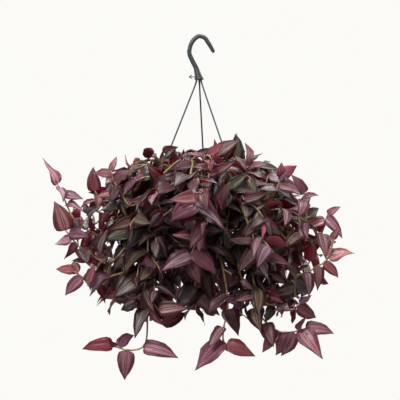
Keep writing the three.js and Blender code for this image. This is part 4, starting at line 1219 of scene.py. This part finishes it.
def side_leaf(points, radii, at, side, lengths, draw):
    """A new leaf, to one side of its stem, drooping, its upper face to the light."""
    last = at == len(points) - 1
    joint = points[at]
    way = (points[min(at + 1, len(points) - 1)] - points[at - 1]).normalized()
    outward = Vector((joint.x, joint.y, 0)).normalized()
    light = Vector((0, 0, SIDE_LEAF["up"])) + outward * SIDE_LEAF["out"]
    light += any_way(draw) * SIDE_LEAF["stray_light"]
    beside = square_to(light, way).cross(way) * side
    spread = math.radians(draw.uniform(*SPREAD["tip" if last else "side"]))
    along = way * math.cos(spread) + beside * math.sin(spread) \
        + Vector((0, 0, -draw.uniform(*SIDE_LEAF["droop"]))) + outward * SIDE_LEAF["outward"]
    if not last:
        along += any_way(draw) * SIDE_LEAF["stray"]
    along.normalize()
    face = square_to(light, along)
    base = joint.copy() if last else joint + square_to(along, way) * radii[at] * SIDE_LEAF["seat"]
    length = draw.uniform(*lengths) * (SIDE_LEAF["at_tip"] if last else 1)
    if joint.z > CROWN_Z:
        length *= CROWN_SIZE["added"]
    return leaf_on(points, radii, at, base, along, face, length)


def try_leaf(points, radii, at, side, lengths, back, own, draw, others=()):
    """A new leaf that keeps inside the plant's outline and clear of all that is there, or else None."""
    leaf = side_leaf(points, radii, at, side, lengths, draw)
    finish_leaf(leaf, back, 1, draw)
    if in_pot(leaf["skin"], POT_GAP) or not in_outline(leaf["skin"]):
        return None
    skin = thicket.skin(leaf["skin"], LEAF_FACES)
    if not thicket.is_clear(skin, own) or any(skin[0].overlap(tree) for tree in others):
        return None
    thicket.add(skin)
    return leaf


GROWN_STEM = 200 * MM  # this far back from its tip, a stem is as brown as it gets
PLACED = 21  # this many shoots stand where the photograph shows them, and the others fill the plant


def stretches_at(number, at):
    """The two stretches of a shoot's stem that meet at a joint, which its leaf may touch."""
    return {("stem", number, at), ("stem", number, at - 1)}


def read_shoots():
    """Reads all shoots from the solids, in the order of their names, and fills in their stems."""
    found = []
    for number, name in enumerate(sorted(n for n in nodes if n.startswith("shoot_"))):
        shoot = read_shoot(nodes[name])
        shoot["name"], shoot["back"] = name, measure_back(shoot["points"])
        shoot["ages"] = [min(1.0, distance / GROWN_STEM) for distance in shoot["back"]]
        found.append(shoot)
        for i, (a, b) in enumerate(zip(shoot["points"], shoot["points"][1:])):
            thicket.add(thicket.skin(*ribbon(a, b, shoot["radii"][i])), ("stem", number, i))
    return found


def lay_leaves(number, shoot, draw):
    """Lays the leaves that the solids have. They grow calmer with each try that crosses something."""
    for leaf in shoot["leaves"]:
        if leaf["joint"].z > CROWN_Z:
            leaf["length"] *= CROWN_SIZE["placed" if number < PLACED else "filled"]
        for attempt in range(1, LEAF["tries"] + 1):
            finish_leaf(leaf, shoot["back"][leaf["at"]], 1 - attempt / LEAF["tries"], draw)
            skin = thicket.skin(leaf["skin"], LEAF_FACES)
            if thicket.is_clear(skin, stretches_at(number, leaf["at"])):
                break
        thicket.add(skin)


def fill_bare_joints(number, shoot, draw):
    """Adds a leaf at each joint that has none, where it finds room."""
    points, leafed = shoot["points"], {leaf["at"] for leaf in shoot["leaves"]}
    for at in sorted(set(range(1, len(points) - 1)) - leafed):
        for _ in range(LATE["tries"]):
            side = draw.choice((-1, 1))
            leaf = try_leaf(points, shoot["radii"], at, side, LATE["leaves"], shoot["back"][at],
                            stretches_at(number, at), draw)
            if leaf:
                shoot["leaves"].append(leaf)
                break


draw = random.Random(5)
thicket = Thicket()
for strand_side in STRAND_AZIMUTHS:
    strand_mesh = bpy.data.objects[f"hanger_strand_{strand_side}"].data
    thicket.add(thicket.skin(places_of(strand_mesh), [tuple(f.vertices) for f in strand_mesh.polygons]))
shoots = read_shoots()
for number, shoot in enumerate(shoots):
    lay_leaves(number, shoot, draw)
for number, shoot in enumerate(shoots):
    fill_bare_joints(number, shoot, draw)
for shoot in shoots:
    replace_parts(make_shoot(f"leafy_{shoot['name']}", shoot, draw), shoot["name"])

# ---------------------------------------------------------------- side shoots
# Short young shoots that break out of the older joints and make the plant dense. Each has a
# few smaller leaves, grows to the light and then droops, and keeps clear of what is there.

SIDE = {"tries": 16, "least_back": 40 * MM, "radius": 1.25 * MM, "leaves": (36 * MM, 56 * MM),
        "joints": (3, 5), "sink": 0.18, "outward": (-0.6, 0.9), "up": 0.3, "onward": (0.2, 0.9), "age": 0.6}
YOUNG_STEM = {"step": (10, 17), "stray": 0.22, "pot_gap": 4 * MM, "bare_start": 0.4, "taper": 0.3,
              "age": 0.15, "grown": 0.15}  # the steps are in millimetres


def young_stem(start, heading, joints, sink, draw):
    """The joints of a young stem, which sinks a little more at each, or rises where sink is below 0."""
    points = [start.copy()]
    for _ in range(joints):
        points.append(points[-1] + heading * draw.uniform(*YOUNG_STEM["step"]) * MM)
        heading = (heading - Vector((0, 0, sink)) + any_way(draw) * YOUNG_STEM["stray"]).normalized()
    return points


def clothe(points, own, older, lengths, draw):
    """Gives a young stem its leaves where they find room. There is no shoot where none of it does."""
    spine = np.array(points[1:])
    if in_pot(spine, YOUNG_STEM["pot_gap"]) or not in_outline(spine):
        return None
    stretches = [ribbon(a, b, SIDE["radius"]) for a, b in zip(points, points[1:])]
    clear_start = points[0].lerp(points[1], YOUNG_STEM["bare_start"])
    stretches[0] = ribbon(clear_start, points[1], SIDE["radius"])
    skins = [thicket.skin(*stretch) for stretch in stretches]
    if not all(thicket.is_clear(skin, own) for skin in skins):
        return None
    radii = [SIDE["radius"] * (1 - YOUNG_STEM["taper"] * i / len(points)) for i in range(len(points))]
    back = measure_back(points)
    leaves = []
    for joint in range(len(points) - 1, 0, -1):
        others = [tree for i, (tree, cells) in enumerate(skins) if i not in (joint - 1, joint)]
        for _ in range(SIDE["tries"]):
            side = 1 if joint % 2 else -1
            leaf = try_leaf(points, radii, joint, side, lengths, back[joint] + older, own, draw, others)
            if leaf:
                leaves.append(leaf)
                break
    if not leaves:
        return None
    leaves[0]["sheathed"] = False
    end = leaves[0]["at"]
    for skin in skins[:end]:
        thicket.add(skin)
    ages = [min(1.0, YOUNG_STEM["age"] + distance / YOUNG_STEM["grown"]) for distance in back[:end + 1]]
    return {"points": points[:end + 1], "radii": radii[:end + 1], "leaves": leaves, "ages": ages}


def grow_side_shoot(number, at, draw):
    """Tries a side shoot at a joint of a shoot until it finds room, or gives None."""
    parent = shoots[number]
    start = parent["points"][at]
    stem_way = (parent["points"][at + 1] - parent["points"][at - 1]).normalized()
    outward = Vector((start.x, start.y, 0)).normalized()
    for _ in range(SIDE["tries"]):
        wild = any_way(draw)
        aside = outward * draw.uniform(*SIDE["outward"]) + wild + Vector((0, 0, SIDE["up"]))
        heading = stem_way * draw.uniform(*SIDE["onward"]) + square_to(aside, stem_way)
        points = young_stem(start, heading.normalized(), draw.randint(*SIDE["joints"]), SIDE["sink"], draw)
        older = SIDE["age"] * parent["back"][at]
        shoot = clothe(points, stretches_at(number, at), older, SIDE["leaves"], draw)
        if shoot:
            return shoot
    return None


def make_side_shoots(number, shoot, draw):
    """All side shoots of a shoot, as one piece. Some shoots have no room for any."""
    pieces = []
    for at in range(2, len(shoot["points"]) - 1):
        if shoot["back"][at] < SIDE["least_back"]:
            continue
        side_shoot = grow_side_shoot(number, at, draw)
        if side_shoot:
            pieces.append(make_shoot("side_shoot", side_shoot, draw))
    if pieces:
        joined(shoot["name"].replace("shoot", "side_shoots"), pieces)


for number, shoot in enumerate(shoots):
    make_side_shoots(number, shoot, draw)

# ---------------------------------------------------------------- crown shoots
# Young shoots that rise out of the soil between the old stems and cover the middle of the pot.
# Each has a stem and leaves like the rest, and stands wherever there is room for it.

CROWN = {"starts": 400, "reach": 62 * MM, "depth": 4 * MM, "leaves": (30 * MM, 56 * MM),
         "joints": (4, 7), "sink": -0.12, "outward": 5, "stray": 0.35}


def make_crown_shoots(draw):
    """The crown's shoots, as one piece."""
    pieces = []
    for _ in range(CROWN["starts"]):
        away, turn = CROWN["reach"] * math.sqrt(draw.random()), draw.uniform(0, 2 * math.pi)
        start = Vector((away * math.cos(turn), away * math.sin(turn), SOIL_TOP - CROWN["depth"]))
        outward = Vector((start.x, start.y, 0)) * CROWN["outward"]
        heading = (outward + Vector((0, 0, 1)) + any_way(draw) * CROWN["stray"]).normalized()
        points = young_stem(start, heading, draw.randint(*CROWN["joints"]), CROWN["sink"], draw)
        crown_shoot = clothe(points, (), 0, CROWN["leaves"], draw)
        if crown_shoot:
            pieces.append(make_shoot("crown_shoot", crown_shoot, draw))
    joined("crown_shoots", pieces)


make_crown_shoots(draw)
for flat in (FLAT_LEAF, FLAT_SHEATH, FLAT_SPEAR):
    bpy.data.objects.remove(flat)
